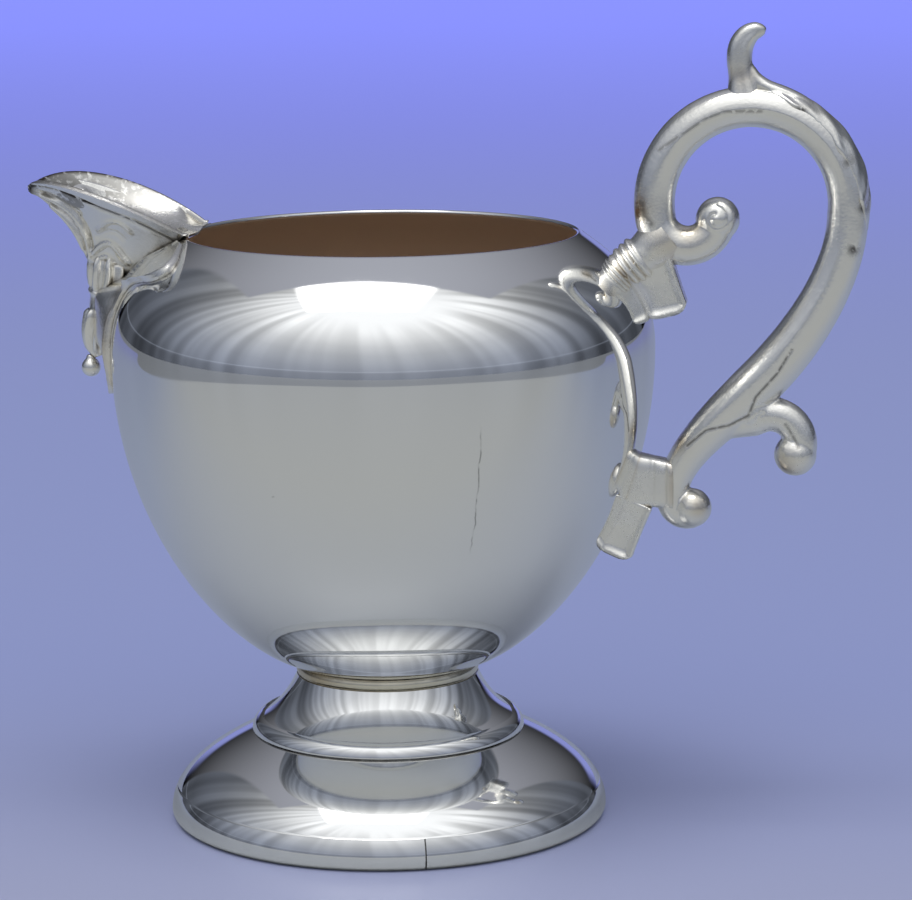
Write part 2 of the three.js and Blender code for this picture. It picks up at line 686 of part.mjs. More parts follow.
function makeUpperTongue() {
  const head = ferruleRoot.clone().lerp(ferruleEnd, 0.58).add(spot(0, 0, -0.08 * TONGUE_LENGTH));
  return tongueBlank(head, 16)
    .subtract(ferruleBlank(SOLDER_GAP))
    .subtract(bowlBlank(SOLDER_GAP))
    .subtract(handleBlank(SOLDER_GAP));
}

// The lower socket bridges the bowl and the tail of the handle.
function socketBlank(grow) {
  const bottom = lowerJointHeight - 0.45 * SOCKET_HEIGHT - grow;
  const top = bottom + SOCKET_HEIGHT + 2 * grow;
  const inner = bowlAt(lowerJointHeight).radius - LOWER_STANDOFF;
  const outer = toeStart.x;
  const outline = new THREE.Shape([
    flat(inner, bottom), flat(outer, bottom), flat(outer, top - 0.15 * SOCKET_HEIGHT), flat(inner, top),
  ]);
  const depth = SOCKET_THICKNESS + 2 * grow;
  const block = new THREE.ExtrudeGeometry(outline, { depth, bevelEnabled: false });
  block.translate(0, 0, -depth / 2);
  block.rotateX(Math.PI / 2);
  return solidOf(block);
}

function makeSocket() {
  return socketBlank(0).subtract(bowlBlank(SOLDER_GAP)).subtract(handleBlank(SOLDER_GAP));
}

function makeLowerTongue() {
  const height = lowerJointHeight - 0.4 * SOCKET_HEIGHT;
  const head = inPlane(flat(bowlAt(height).radius + 0.25 * TONGUE_END_WIDTH, height));
  return tongueBlank(head, -24)
    .subtract(socketBlank(SOLDER_GAP))
    .subtract(bowlBlank(SOLDER_GAP))
    .subtract(handleBlank(SOLDER_GAP));
}

const onAxis = new THREE.Group();

function addPiece(name, solid, finish) {
  const piece = new THREE.Mesh(geometryOf(solid), new THREE.MeshStandardMaterial(finish));
  piece.name = name;
  onAxis.add(piece);
}

addPiece('foot_rim_band', makeRimBand(), polishedPlate);
addPiece('foot_dome', makeDome(), polishedPlate);
addPiece('foot_stem', makeStem(), polishedPlate);
addPiece('neck_collar', makeCollar(), solderedBand);
addPiece('body_shell', makeBowl(), polishedPlate);
addPiece('spout_lip', makeLip(), castPlate);
addPiece('spout_apron', makeApron(), castPlate);
addPiece('spout_husk', makeHusk(), castPlate);
addPiece('spout_bead', makeLipBead(), castPlate);
addPiece('handle_scroll', handleBlank(0), castPlate);
addPiece('handle_branch', makeBranch(), castPlate);
addPiece('thumb_sprig', makeSprig(), castPlate);
addPiece('upper_ferrule', makeFerrule(), castPlate);
addPiece('upper_tongue', makeUpperTongue(), castPlate);
addPiece('lower_socket', makeSocket(), castPlate);
addPiece('lower_tongue', makeLowerTongue(), castPlate);

// The jug stands with the middle of its length over the origin.
const creamer = new THREE.Group();
creamer.name = 'creamer';
creamer.add(onAxis);
onAxis.position.x = -new THREE.Box3().setFromObject(onAxis).getCenter(spot()).x;

export default creamer;
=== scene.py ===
"""Footed cream jug in silver plate: its visible pieces around the CAD frame, and a plain studio stage."""
import math

import bmesh
import bpy
from bpy.props import FloatProperty, FloatVectorProperty, PointerProperty
from mathutils import Matrix, Vector, noise


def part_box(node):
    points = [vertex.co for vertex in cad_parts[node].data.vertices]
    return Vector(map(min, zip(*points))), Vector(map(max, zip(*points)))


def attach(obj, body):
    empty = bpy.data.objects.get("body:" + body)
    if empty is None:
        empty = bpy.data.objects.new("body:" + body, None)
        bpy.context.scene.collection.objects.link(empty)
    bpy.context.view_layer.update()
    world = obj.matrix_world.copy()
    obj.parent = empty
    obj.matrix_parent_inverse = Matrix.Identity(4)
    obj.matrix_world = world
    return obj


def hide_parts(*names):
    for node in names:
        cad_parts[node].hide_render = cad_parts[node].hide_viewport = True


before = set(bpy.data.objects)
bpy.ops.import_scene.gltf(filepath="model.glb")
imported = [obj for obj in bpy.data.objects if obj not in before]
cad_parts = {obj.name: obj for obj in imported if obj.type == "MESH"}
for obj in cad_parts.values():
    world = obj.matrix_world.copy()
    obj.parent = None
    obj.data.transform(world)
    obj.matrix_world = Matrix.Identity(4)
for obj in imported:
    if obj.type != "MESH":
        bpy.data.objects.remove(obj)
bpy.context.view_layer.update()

bl_info = {
    "name": "Cream jug in silver plate",
    "version": (1, 0, 0),
    "blender": (4, 5, 0),
    "location": "3D View > Sidebar > Cream jug",
    "description": "Builds the visible pieces of a cream jug around its CAD frame, and a studio stage",
    "category": "Object",
}

# Places that come from the frame, in metres
BAND_LOW, BAND_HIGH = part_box("foot_rim_band")
BOWL_LOW, BOWL_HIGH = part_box("body_shell")
COLLAR_LOW, COLLAR_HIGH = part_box("neck_collar")
STEM_LOW, STEM_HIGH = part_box("foot_stem")
AXIS_X = (BAND_LOW.x + BAND_HIGH.x) / 2
MM = 0.001

# Facets
ROUND = 192
BAR_SIDES = 28


def length(label, note, metres):
    return FloatProperty(name=label, description=note, default=metres, min=0.0, precision=5, unit="LENGTH")


def turn(label, note, degrees):
    return FloatProperty(name=label, description=note, default=math.radians(degrees), subtype="ANGLE")


def colour(label, note, rgb):
    return FloatVectorProperty(name=label, description=note, default=rgb, min=0.0, max=1.0, subtype="COLOR")


def share(label, note, value):
    return FloatProperty(name=label, description=note, default=value, min=0.0, max=1.0, subtype="FACTOR")


class BowlSizes(bpy.types.PropertyGroup):
    """Sizes of the spun bowl."""
    belly_radius: length("Belly radius", "Outside radius at the widest place", BOWL_HIGH.y)
    belly_height: length("Belly height", "Height of the widest place above the table", 0.0839)
    mouth_radius: length("Mouth radius", "Outside radius of the mouth", 0.0346)
    mouth_height: length("Mouth height", "Height of the mouth above the table", BOWL_HIGH.z)
    base_radius: length("Base radius", "Radius where the bowl meets its collar", 0.0158)
    base_height: length("Base height", "Height of the bowl's underside", BOWL_LOW.z)
    wall: length("Wall", "Thickness of the spun sheet", 0.001)
    notch_depth: length("Notch depth", "Dip of the mouth's edge under the pouring lip", 0.0008)
    notch_turn: turn("Notch half angle", "Half the angle that the dip takes up", 12.5)


class FootSizes(bpy.types.PropertyGroup):
    """Sizes of the foot below the bowl."""
    radius: length("Foot radius", "Outside radius at the table", BAND_HIGH.y)
    band_height: length("Band height", "Height of the rim band", BAND_HIGH.z)
    band_width: length("Band width", "Thickness of the rim band", 0.0019)
    dome_radius: length("Dome top radius", "Radius of the dome under the bead", 0.0234)
    dome_height: length("Dome height", "Height of the dome's top", STEM_LOW.z + 0.0012)
    stem_radius: length("Stem top radius", "Radius of the stem under the collar", 0.0161)
    bead_radius: length("Bead radius", "Outside radius of the rolled bead", STEM_HIGH.y)
    bead_thickness: length("Bead thickness", "Thickness of the rolled bead", 0.0027)
    collar_radius: length("Collar radius", "Outside radius of the soldered collar", COLLAR_HIGH.y)
    wall: length("Wall", "Thickness of the spun sheet", 0.0011)
    seam_turn: turn("Seam angle", "Where the band's two ends meet", -73.0)
    seam_width: length("Seam width", "Gap between the band's two ends", 0.00026)


class SpoutSizes(bpy.types.PropertyGroup):
    """Sizes of the cast pouring lip and what hangs below it."""
    tip_reach: length("Tip reach", "From the bowl's axis to the lip's tip",
                      AXIS_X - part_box("spout_lip")[0].x)
    tip_height: length("Tip height", "Height of the lip's tip", 0.1119)
    tip_half_width: length("Tip half width", "Half the width of the blunt tip", 0.0018)
    edge: length("Edge thickness", "Thickness of the lip's top edge", 0.0011)
    heel_reach: length("Heel reach", "From the bowl's axis to the heel of the keel", 0.0518)
    heel_height: length("Heel height", "Height of the heel of the keel", 0.098)
    corner_turn: turn("Corner angle", "Where the lip's edge meets the mouth", 17.5)
    apron_drop: length("Apron drop", "Length of the apron down the bowl", 0.0276)
    apron_thickness: length("Apron thickness", "Thickness of the apron", 0.002)
    husk_radius: length("Husk radius", "Radius of the husk", 0.0032)
    husk_length: length("Husk length", "Length of the husk", 0.0163)
    bead_radius: length("Bead radius", "Radius of the ball below the husk", 0.0017)


class HandleSizes(bpy.types.PropertyGroup):
    """Sizes of the cast scroll handle."""
    crown_radius: length("Crown radius", "Radius of the crown's centre line", 0.0166)
    crown_reach: length("Crown reach", "From the bowl's axis to the crown's centre", 0.064)
    crown_height: length("Crown height", "Height of the crown's centre", 0.1091)
    volute_radius: length("Volute radius", "Radius of the volute's centre line", 0.0054)
    volute_knob: length("Volute knob", "Radius of the ball that ends the volute", 0.00365)
    stem_bar: length("Crown bar", "Half the thickness of the bar at the crown", 0.0034)
    back_bar: length("Back bar", "Half the thickness of the bar at the waist", 0.0043)
    tail_bar: length("Tail bar", "Half the thickness of the bar at the toe", 0.0027)
    waist_reach: length("Waist reach", "From the bowl's axis to the waist", 0.0665)
    waist_height: length("Waist height", "Height of the waist", 0.079)
    toe_reach: length("Toe reach", "From the bowl's axis to the tail's end", 0.0505)
    toe_height: length("Toe height", "Height of the tail's end", 0.0572)
    toe_radius: length("Toe radius", "Radius of the curl at the tail's end", 0.0028)
    toe_knob: length("Toe knob", "Radius of the ball at the tail's end", 0.00345)
    branch_radius: length("Branch radius", "Radius of the branch's centre line", 0.0053)
    branch_bar: length("Branch bar", "Half the thickness of the branch", 0.003)
    branch_knob: length("Branch knob", "Radius of the ball that ends the branch", 0.0037)
    sprig_height: length("Sprig height", "Height of the thumb sprig above the crown", 0.0105)
    sprig_bar: length("Sprig bar", "Half the thickness of the thumb sprig", 0.002)


class JointSizes(bpy.types.PropertyGroup):
    """Sizes of what joins the handle to the bowl."""
    upper_height: length("Upper joint height", "Where the ferrule meets the bowl", 0.0975)
    lower_height: length("Lower joint height", "Where the socket meets the bowl", 0.06)
    ferrule_root: length("Ferrule root radius", "Radius of the ferrule at the bowl", 0.0034)
    ferrule_end: length("Ferrule end radius", "Radius of the ferrule at the volute", 0.0042)
    socket_height: length("Socket height", "Height of the lower socket", 0.01)
    socket_thickness: length("Socket thickness", "Thickness of the lower socket", 0.0062)
    tongue_length: length("Tongue length", "Length of a tongue", 0.0096)
    tongue_neck: length("Tongue neck", "Width of a tongue at its head", 0.0054)
    tongue_end: length("Tongue end", "Width of a tongue at its flared end", 0.0076)
    tongue_thickness: length("Tongue thickness", "Thickness of a tongue", 0.0056)


class Finishes(bpy.types.PropertyGroup):
    """Colours and polish of the metals."""
    silver: colour("Silver", "Polished plate", (0.90, 0.90, 0.885))
    casting: colour("Casting", "Plate on the castings", (0.93, 0.915, 0.865))
    solder: colour("Solder", "Plate over the soldered collar", (0.80, 0.75, 0.60))
    gilt: colour("Gilt", "Wash inside the bowl", (0.60, 0.47, 0.355))
    # The tarnish colour also paints the shade on the lip's upward faces.
    tarnish: colour("Tarnish", "Dark growth in hollows", (0.055, 0.045, 0.036))
    stain: colour("Stain", "Yellow and brown bloom", (0.50, 0.36, 0.17))
    silver_rough: share("Silver roughness", "Roughness of the polished plate", 0.035)
    casting_rough: share("Casting roughness", "Roughness of the castings", 0.18)


class StageSettings(bpy.types.PropertyGroup):
    """Floor, light and camera."""
    front_floor: colour("Front floor", "Paper in front of the jug", (0.53, 0.55, 0.59))
    floor: colour("Floor", "Paper that the jug stands on", (0.42, 0.48, 0.68))
    far_floor: colour("Far floor", "The paper away from the jug", (0.36, 0.40, 0.82))
    hem: colour("Hem", "Lower edge of the cloth, as the metal shows it", (0.30, 0.32, 0.375))
    backdrop: colour("Backdrop", "Pale sheet behind and above the jug", (0.41, 0.425, 0.49))
    far_glow: colour("Far glow", "Glow of the paper far behind the jug", (0.10, 0.12, 0.86))
    dusk: colour("Dusk", "Low sky behind the jug, as the metal's edges show it", (0.25, 0.28, 0.64))
    softbox: FloatProperty(name="Softbox", description="Brightness of the light overhead", min=0.0,
                           default=4.0)
    lens: FloatProperty(name="Lens", description="Focal length", default=138.16, unit="CAMERA")


class CreamJug(bpy.types.PropertyGroup):
    """Everything that can be set on the jug and its stage."""
    bowl: PointerProperty(type=BowlSizes)
    foot: PointerProperty(type=FootSizes)
    spout: PointerProperty(type=SpoutSizes)
    handle: PointerProperty(type=HandleSizes)
    joints: PointerProperty(type=JointSizes)
    finishes: PointerProperty(type=Finishes)
    stage: PointerProperty(type=StageSettings)


# Small sums


def lerp(a, b, t):
    return a + (b - a) * t


def ease(low, high, value):
    """0 below low, 1 above high, smooth between."""
    t = min(max((value - low) / (high - low), 0.0), 1.0)
    return t * t * (3 - 2 * t)


def mound(distance, width):
    """1 in the middle, fading out over a width."""
    return math.exp(-((distance / width) ** 2))


def flat(x, y):
    return Vector((x, y))


def spot(x, y, z):
    return Vector((x, y, z))


def bezier(points, t):
    a, b, c, d = points
    s = 1 - t
    return a * (s ** 3) + b * (3 * s * s * t) + c * (3 * s * t * t) + d * (t ** 3)


def shares(count):
    """Even steps from 0 to 1."""
    return [i / count for i in range(count + 1)]


def angles(count):
    """Even steps once around."""
    return [2 * math.pi * k / count for k in range(count)]


def bezier_line(points, count):
    return [bezier(points, t) for t in shares(count)]


def smooth_line(points, count):
    """An even curve through points of two or more numbers."""
    points = [Vector(p) for p in points]
    line = []
    spans = len(points) - 1
    for step in shares(count):
        place = step * spans
        k = min(int(place), spans - 1)
        t = place - k
        a, b = points[max(k - 1, 0)], points[k]
        c, d = points[k + 1], points[min(k + 2, spans)]
        line.append(0.5 * (2 * b + (c - a) * t + (2 * a - 5 * b + 4 * c - d) * t * t
                           + (3 * b - a - 3 * c + d) * t ** 3))
    return line


def off_line(point, line):
    """Distance from a point to a line of points."""
    best = 1e9
    for a, b in zip(line, line[1:]):
        along = b - a
        t = min(max((point - a).dot(along) / max(along.length_squared, 1e-9), 0.0), 1.0)
        best = min(best, (a + along * t - point).length)
    return best


def on_arc(centre, radius, degrees):
    return flat(centre.x + radius * math.cos(math.radians(degrees)),
                centre.y + radius * math.sin(math.radians(degrees)))


def in_plane(p):
    """A point of the handle's plane, in space."""
    return spot(p.x, 0.0, p.y)


def mm_of(sizes):
    """A look-up of a group's lengths in millimetres."""
    return lambda name: getattr(sizes, name) / MM


# Forms: points in millimetres about the bowl's axis, and the faces between them


class Form:
    """Points, faces and each face's finish."""

    def __init__(self):
        self.points = []
        self.faces = []
        self.finishes = []

    def add(self, points, faces):
        start = len(self.points)
        self.points += points
        self.faces += [[start + i for i in face] for face in faces]
        self.finishes += [0] * len(faces)
        return self

    def lathe(self, profile, closed=False, first=0.0, last=360.0, finish_at=None):
        """A profile of (radius, height) turned about the axis; open ends of a part turn are capped."""
        whole = abs(last - first - 360) < 1e-6
        stops = ROUND if whole else ROUND + 1
        rows = len(profile)
        start = len(self.points)
        for i in range(stops):
            angle = math.radians(lerp(first, last, i / ROUND))
            self.points += [spot(p.x * math.cos(angle), p.x * math.sin(angle), p.y) for p in profile]
        for i in range(ROUND):
            j = (i + 1) % stops
            for k in range(rows if closed else rows - 1):
                m = (k + 1) % rows
                self.faces.append([start + i * rows + k, start + j * rows + k,
                                   start + j * rows + m, start + i * rows + m])
                self.finishes.append(finish_at(k) if finish_at else 0)
        if not whole:
            self.faces.append([start + k for k in range(rows)])
            self.faces.append([start + (stops - 1) * rows + k for k in reversed(range(rows))])
            self.finishes += [0, 0]
        return self

    def skin(self, rings):
        """A closed skin over rings of points, capped at both ends."""
        sides = len(rings[0])
        points = [p for ring in rings for p in ring]
        points.append(sum(rings[0], spot(0, 0, 0)) / sides)
        points.append(sum(rings[-1], spot(0, 0, 0)) / sides)
        faces = []
        last = (len(rings) - 1) * sides
        for j in range(sides):
            n = (j + 1) % sides
            for i in range(len(rings) - 1):
                faces.append([i * sides + j, i * sides + n, (i + 1) * sides + n, (i + 1) * sides + j])
            faces.append([len(points) - 2, n, j])
            faces.append([len(points) - 1, last + j, last + n])
        return self.add(points, faces)

    def bar(self, stations, facing, sides=BAR_SIDES, shape=None):
        """A bar along stations of (place, radius); facing(place) is the way one side looks."""
        rings = []
        for i, (at, radius) in enumerate(stations):
            along = (stations[min(i + 1, len(stations) - 1)][0] - stations[max(i - 1, 0)][0]).normalized()
            across = along.cross(facing(at)).normalized()
            up = across.cross(along)
            ring = []
            for angle in angles(sides):
                reach = radius * (shape(angle, i / (len(stations) - 1)) if shape else 1.0)
                ring.append(at + across * (math.cos(angle) * reach) + up * (math.sin(angle) * reach))
            rings.append(ring)
        return self.skin(rings)

    def ball(self, centre, radius, sides=24):
        end_turn, bands = 86, 14
        profile = [on_arc(flat(0, 0), 1, lerp(-end_turn, end_turn, t)) for t in shares(bands)]
        rings = [[centre + spot(radius * p.x * math.cos(a), radius * p.x * math.sin(a), radius * p.y)
                  for a in angles(sides)] for p in profile]
        return self.skin(rings)

    def plate(self, inner, outer):
        """A plate between two grids of points with the same rows and columns."""
        rows, columns = len(inner), len(inner[0])
        points = [p for row in inner for p in row] + [p for row in outer for p in row]
        under = lambda i, j: i * columns + j
        over = lambda i, j: rows * columns + i * columns + j
        faces = []
        for i in range(rows - 1):
            for j in range(columns - 1):
                faces.append([under(i, j), under(i + 1, j), under(i + 1, j + 1), under(i, j + 1)])
                faces.append([over(i, j), over(i, j + 1), over(i + 1, j + 1), over(i + 1, j)])
            end = columns - 1
            faces.append([under(i, 0), over(i, 0), over(i + 1, 0), under(i + 1, 0)])
            faces.append([under(i, end), under(i + 1, end), over(i + 1, end), over(i, end)])
        for j in range(columns - 1):
            end = rows - 1
            faces.append([under(0, j), under(0, j + 1), over(0, j + 1), over(0, j)])
            faces.append([under(end, j), over(end, j), over(end, j + 1), under(end, j + 1)])
        return self.add(points, faces)

    def moved(self, change):
        self.points = [change(p) for p in self.points]
        return self


def mesh_of(form, name):
    """A clean mesh in millimetres: doubled points merged and faces turned outwards."""
    shape = bmesh.new()
    corners = [shape.verts.new(p) for p in form.points]
    for face, finish in zip(form.faces, form.finishes):
        made = shape.faces.new([corners[i] for i in face])
        made.material_index = finish
    bmesh.ops.remove_doubles(shape, verts=shape.verts, dist=1e-4)
    bmesh.ops.recalc_face_normals(shape, faces=shape.faces)
    mesh = bpy.data.meshes.new(name)
    shape.to_mesh(mesh)
    shape.free()
    return mesh


def fused(form, name, voxel, rounds):
    """Overlapping closed forms joined into one skin, then eased so that their joins flow."""
    raw = mesh_of(form, name + "_raw")
    holder = bpy.data.objects.new(name + "_raw", raw)
    bpy.context.scene.collection.objects.link(holder)
    joined = holder.modifiers.new("Join", "REMESH")
    joined.mode = "VOXEL"
    joined.voxel_size = voxel
    eased = holder.modifiers.new("Ease", "SMOOTH")
    eased.factor = 0.5
    eased.iterations = rounds
    seen = holder.evaluated_get(bpy.context.evaluated_depsgraph_get())
    mesh = bpy.data.meshes.new_from_object(seen)
    mesh.name = name
    bpy.data.objects.remove(holder)
    bpy.data.meshes.remove(raw)
    return mesh


def sculpt(mesh, push):
    """Moves each point along its normal by push(point, normal), in millimetres."""
    normals = [v.normal.copy() for v in mesh.vertices]
    for vertex, normal in zip(mesh.vertices, normals):
        amount = push(vertex.co, normal)
        if amount:
            vertex.co = vertex.co + normal * amount


def seated(mesh, bowl):
    """Keeps points from going through the bowl's wall."""
    for vertex in mesh.vertices:
        vertex.co = bowl.seat(vertex.co)
    return mesh


def paint(mesh, name, amount, shade_on_top=None):
    """Keeps a value for each point, for the finishes to read; a second function's value, when given, is
    painted shade and is added where the surface faces up.
    """
    values = [amount(v.co) for v in mesh.vertices]
    if shade_on_top:
        values = [a + shade_on_top(v.co) * ease(0.3, 0.6, v.normal.z) for a, v in zip(values, mesh.vertices)]
    layer = mesh.attributes.new(name, "FLOAT", "POINT")
    layer.data.foreach_set("value", values)


def add_piece(name, mesh, materials, nodes, crease=None):
    """Puts a mesh of millimetres about the axis into the frame, in place of its CAD nodes."""
    mesh.transform(Matrix.Translation((AXIS_X, 0, 0)) @ Matrix.Scale(MM, 4))
    for material in materials:
        mesh.materials.append(material)
    mesh.shade_smooth()
    if crease:
        mesh.set_sharp_from_angle(angle=math.radians(crease))
    piece = bpy.data.objects.new(name, mesh)
    bpy.context.scene.collection.objects.link(piece)
    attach(piece, "root")
    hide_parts(*nodes)


# The bowl and the handle as curves that other pieces seat on


class BowlShape:
    """The bowl's outline and where things sit on it."""

    def __init__(self, sizes):
        mm = mm_of(sizes)
        self.belly, self.mouth, self.base = mm("belly_radius"), mm("mouth_radius"), mm("base_radius")
        self.low, self.mid, self.top = mm("base_height"), mm("belly_height"), mm("mouth_height")
        self.wall, self.dip, self.dip_turn = mm("wall"), mm("notch_depth"), math.degrees(sizes.notch_turn)
        depth, rise = self.mid - self.low, self.top - self.mid
        side = [flat(self.base, self.low + 0.15),
                flat(lerp(self.base, self.belly, 0.35), self.low + 0.043 * depth),
                flat(self.belly, self.mid - 0.583 * depth),
                flat(self.belly, self.mid)]
        shoulder = [flat(self.belly, self.mid),
                    flat(self.belly, self.mid + 0.533 * rise),
                    flat(lerp(self.mouth, self.belly, 0.48), self.top - 0.22 * rise),
                    flat(self.mouth, self.top)]
        self.outline = bezier_line(side, 64) + bezier_line(shoulder, 60)[1:]

    def normals(self):
        line = self.outline
        out = []
        for i in range(len(line)):
            along = (line[min(i + 1, len(line) - 1)] - line[max(i - 1, 0)]).normalized()
            out.append(flat(along.y, -along.x))
        return out

    def at(self, height):
        """Radius and outward direction (out, up) at a height."""
        line = self.outline
        low, high = 0, len(line) - 1
        while high - low > 1:
            middle = (low + high) // 2
            if line[middle].y <= height:
                low = middle
            else:
                high = middle
        a, b = line[low], line[high]
        t = min(max((height - a.y) / (b.y - a.y), 0.0), 1.0)
        along = (b - a).normalized()
        return lerp(a.x, b.x, t), along.y, -along.x

    def on(self, degrees, height, lift):
        radius, out, up = self.at(height)
        reach = radius + out * lift
        angle = math.radians(degrees)
        return spot(reach * math.cos(angle), reach * math.sin(angle), height + up * lift)

    def facing(self, p):
        _, out, up = self.at(p.z)
        reach = max(math.hypot(p.x, p.y), 1e-6)
        return spot(out * p.x / reach, out * p.y / reach, up)

    def dip_at(self, x, y):
        """How far the mouth's edge dips at this side of the bowl."""
        away = abs(math.degrees(math.atan2(y, -x)))
        return self.dip * (1 - ease(0.62 * self.dip_turn, self.dip_turn, away))

    def seat(self, p):
        """Keeps a point from going deeper than about the middle of the bowl's wall."""
        deepest = -0.55
        p = p.copy()
        for _ in range(3):
            if p.z > self.top - self.dip_at(p.x, p.y):
                return p
            radius, out, _ = self.at(p.z)
            gap = (math.hypot(p.x, p.y) - radius) * out
            if gap >= deepest:
                return p
            p += self.facing(p) * (deepest - gap)
        return p


class HandleShape:
    """The scroll's centre line, and stations along it."""

    def __init__(self, sizes):
        mm = mm_of(sizes)
        self.mm = mm
        self.crown = flat(mm("crown_reach"), mm("crown_height"))
        self.radius = mm("crown_radius")
        self.start, self.end, self.curl = 190.0, -6.0, 352.0
        self.volute = on_arc(self.crown, self.radius - mm("volute_radius"), self.start)
        self.waist = flat(mm("waist_reach"), mm("waist_height"))
        self.toe = flat(mm("toe_reach"), mm("toe_height"))
        self.toe_centre = flat(self.toe.x + mm("toe_radius"), self.toe.y)
        out = on_arc(self.crown, self.radius, self.end)
        pull = flat(6.9, 7.2)
        self.back = [out, out - flat(0, 0.6 * self.radius), self.waist + pull, self.waist]
        self.tail = [self.waist, self.waist - pull, self.toe + flat(0, 8), self.toe]
        self.knob = on_arc(self.volute, mm("volute_radius"), self.curl)
        self.toe_ball = self.toe_centre + flat(0.25, -0.5) * mm("toe_radius")

    def stations(self):
        mm = self.mm
        stem, back, tail = mm("stem_bar"), mm("back_bar"), mm("tail_bar")
        crown = 1.04 * stem
        path = []
        for t in shares(26)[:-1]:
            path.append((on_arc(self.volute, mm("volute_radius"), lerp(self.curl, self.start, t)),
                         lerp(0.96, 1.03, ease(0, 0.7, t)) * stem))
        for t in shares(52)[:-1]:
            path.append((on_arc(self.crown, self.radius, lerp(self.start, self.end, t)), crown))
        for curve, first, last in ((self.back, crown, back), (self.tail, back, tail)):
            path += [(bezier(curve, t), lerp(first, last, ease(0, 1, t))) for t in shares(26)[:-1]]
        for t in shares(12):
            place = on_arc(self.toe_centre, mm("toe_radius"), lerp(180, 290, t))
            path.append((place, lerp(1, 0.85, t) * tail))
        return [(in_plane(p), r) for p, r in path]


SIDEWAYS = spot(0, 1, 0)


def sideways(_):
    return SIDEWAYS


# Finishes


class Nodes:
    """Makes and links the nodes of one tree."""

    def __init__(self, tree):
        self.tree = tree

    def link(self, value, target):
        """Links a socket to a target, or sets a plain value on it."""
        if isinstance(value, bpy.types.NodeSocket):
            self.tree.links.new(value, target)
        else:
            target.default_value = value

    def add(self, kind, inputs=None, **settings):
        made = self.tree.nodes.new(kind)
        for key, value in settings.items():
            setattr(made, key, value)
        for key, value in (inputs or {}).items():
            self.link(value, made.inputs[key])
        return made

    def sum(self, operation, a, b=0.0, clamp=False):
        return self.add("ShaderNodeMath", {0: a, 1: b}, operation=operation, use_clamp=clamp).outputs[0]

    def plus(self, a, b, clamp=False):
        return self.sum("ADD", a, b, clamp)

    def minus(self, a, b):
        return self.sum("SUBTRACT", a, b)

    def times(self, a, b):
        return self.sum("MULTIPLY", a, b)

    def over(self, a, b):
        return self.sum("DIVIDE", a, b)

    def size(self, a):
        return self.sum("ABSOLUTE", a)

    def tinged(self, a, b):
        """Two colours multiplied."""
        return self.add("ShaderNodeVectorMath", {0: a, 1: b}, operation="MULTIPLY").outputs[0]

    def mix(self, factor, a, b):
        made = self.add("ShaderNodeMix", data_type="RGBA")
        for key, value in (("Factor", factor), ("A", a), ("B", b)):
            self.link(value, next(s for s in made.inputs if s.name == key and s.enabled))
        return next(s for s in made.outputs if s.enabled)

    def fade(self, value, low, high, to_low=0.0, to_high=1.0):
        """Goes smoothly from to_low to to_high as the value goes from low to high."""
        made = self.add("ShaderNodeMapRange", {"Value": value, "From Min": low, "From Max": high,
                                               "To Min": to_low, "To Max": to_high},
                        interpolation_type="SMOOTHSTEP")
        return made.outputs["Result"]

    def noise(self, where, scale, detail=3.0, rough=0.55):
        made = self.add("ShaderNodeTexNoise", {"Vector": where, "Scale": scale, "Detail": detail,
                                               "Roughness": rough})
        return made.outputs["Fac"]

    def line_noise(self, along, scale, detail):
        made = self.add("ShaderNodeTexNoise", {"W": along, "Scale": scale, "Detail": detail},
                        noise_dimensions="1D")
        return made.outputs["Fac"]

    def place(self, kind):
        return self.add("ShaderNodeTexCoord").outputs[kind]

    def parts(self, where):
        return self.add("ShaderNodeSeparateXYZ", {0: where}).outputs

    def painted(self, name):
        """A value that paint() kept on the mesh."""
        return self.add("ShaderNodeAttribute", attribute_name=name).outputs["Fac"]


def group_of(name, ins, outs, fill):
    """The node group of a name, made when first asked for; fill(net, given) returns what goes out."""
    if name in bpy.data.node_groups:
        return bpy.data.node_groups[name]
    tree = bpy.data.node_groups.new(name, "ShaderNodeTree")
    for label, value in ins.items():
        kind = "NodeSocketFloat" if isinstance(value, float) else "NodeSocketColor"
        tree.interface.new_socket(name=label, in_out="INPUT", socket_type=kind).default_value = value
    for label, kind in outs.items():
        tree.interface.new_socket(name=label, in_out="OUTPUT", socket_type=kind)
    given = tree.nodes.new("NodeGroupInput").outputs
    target = tree.nodes.new("NodeGroupOutput").inputs
    for label, result in zip(outs, fill(Nodes(tree), given)):
        tree.links.new(result, target[label])
    return tree


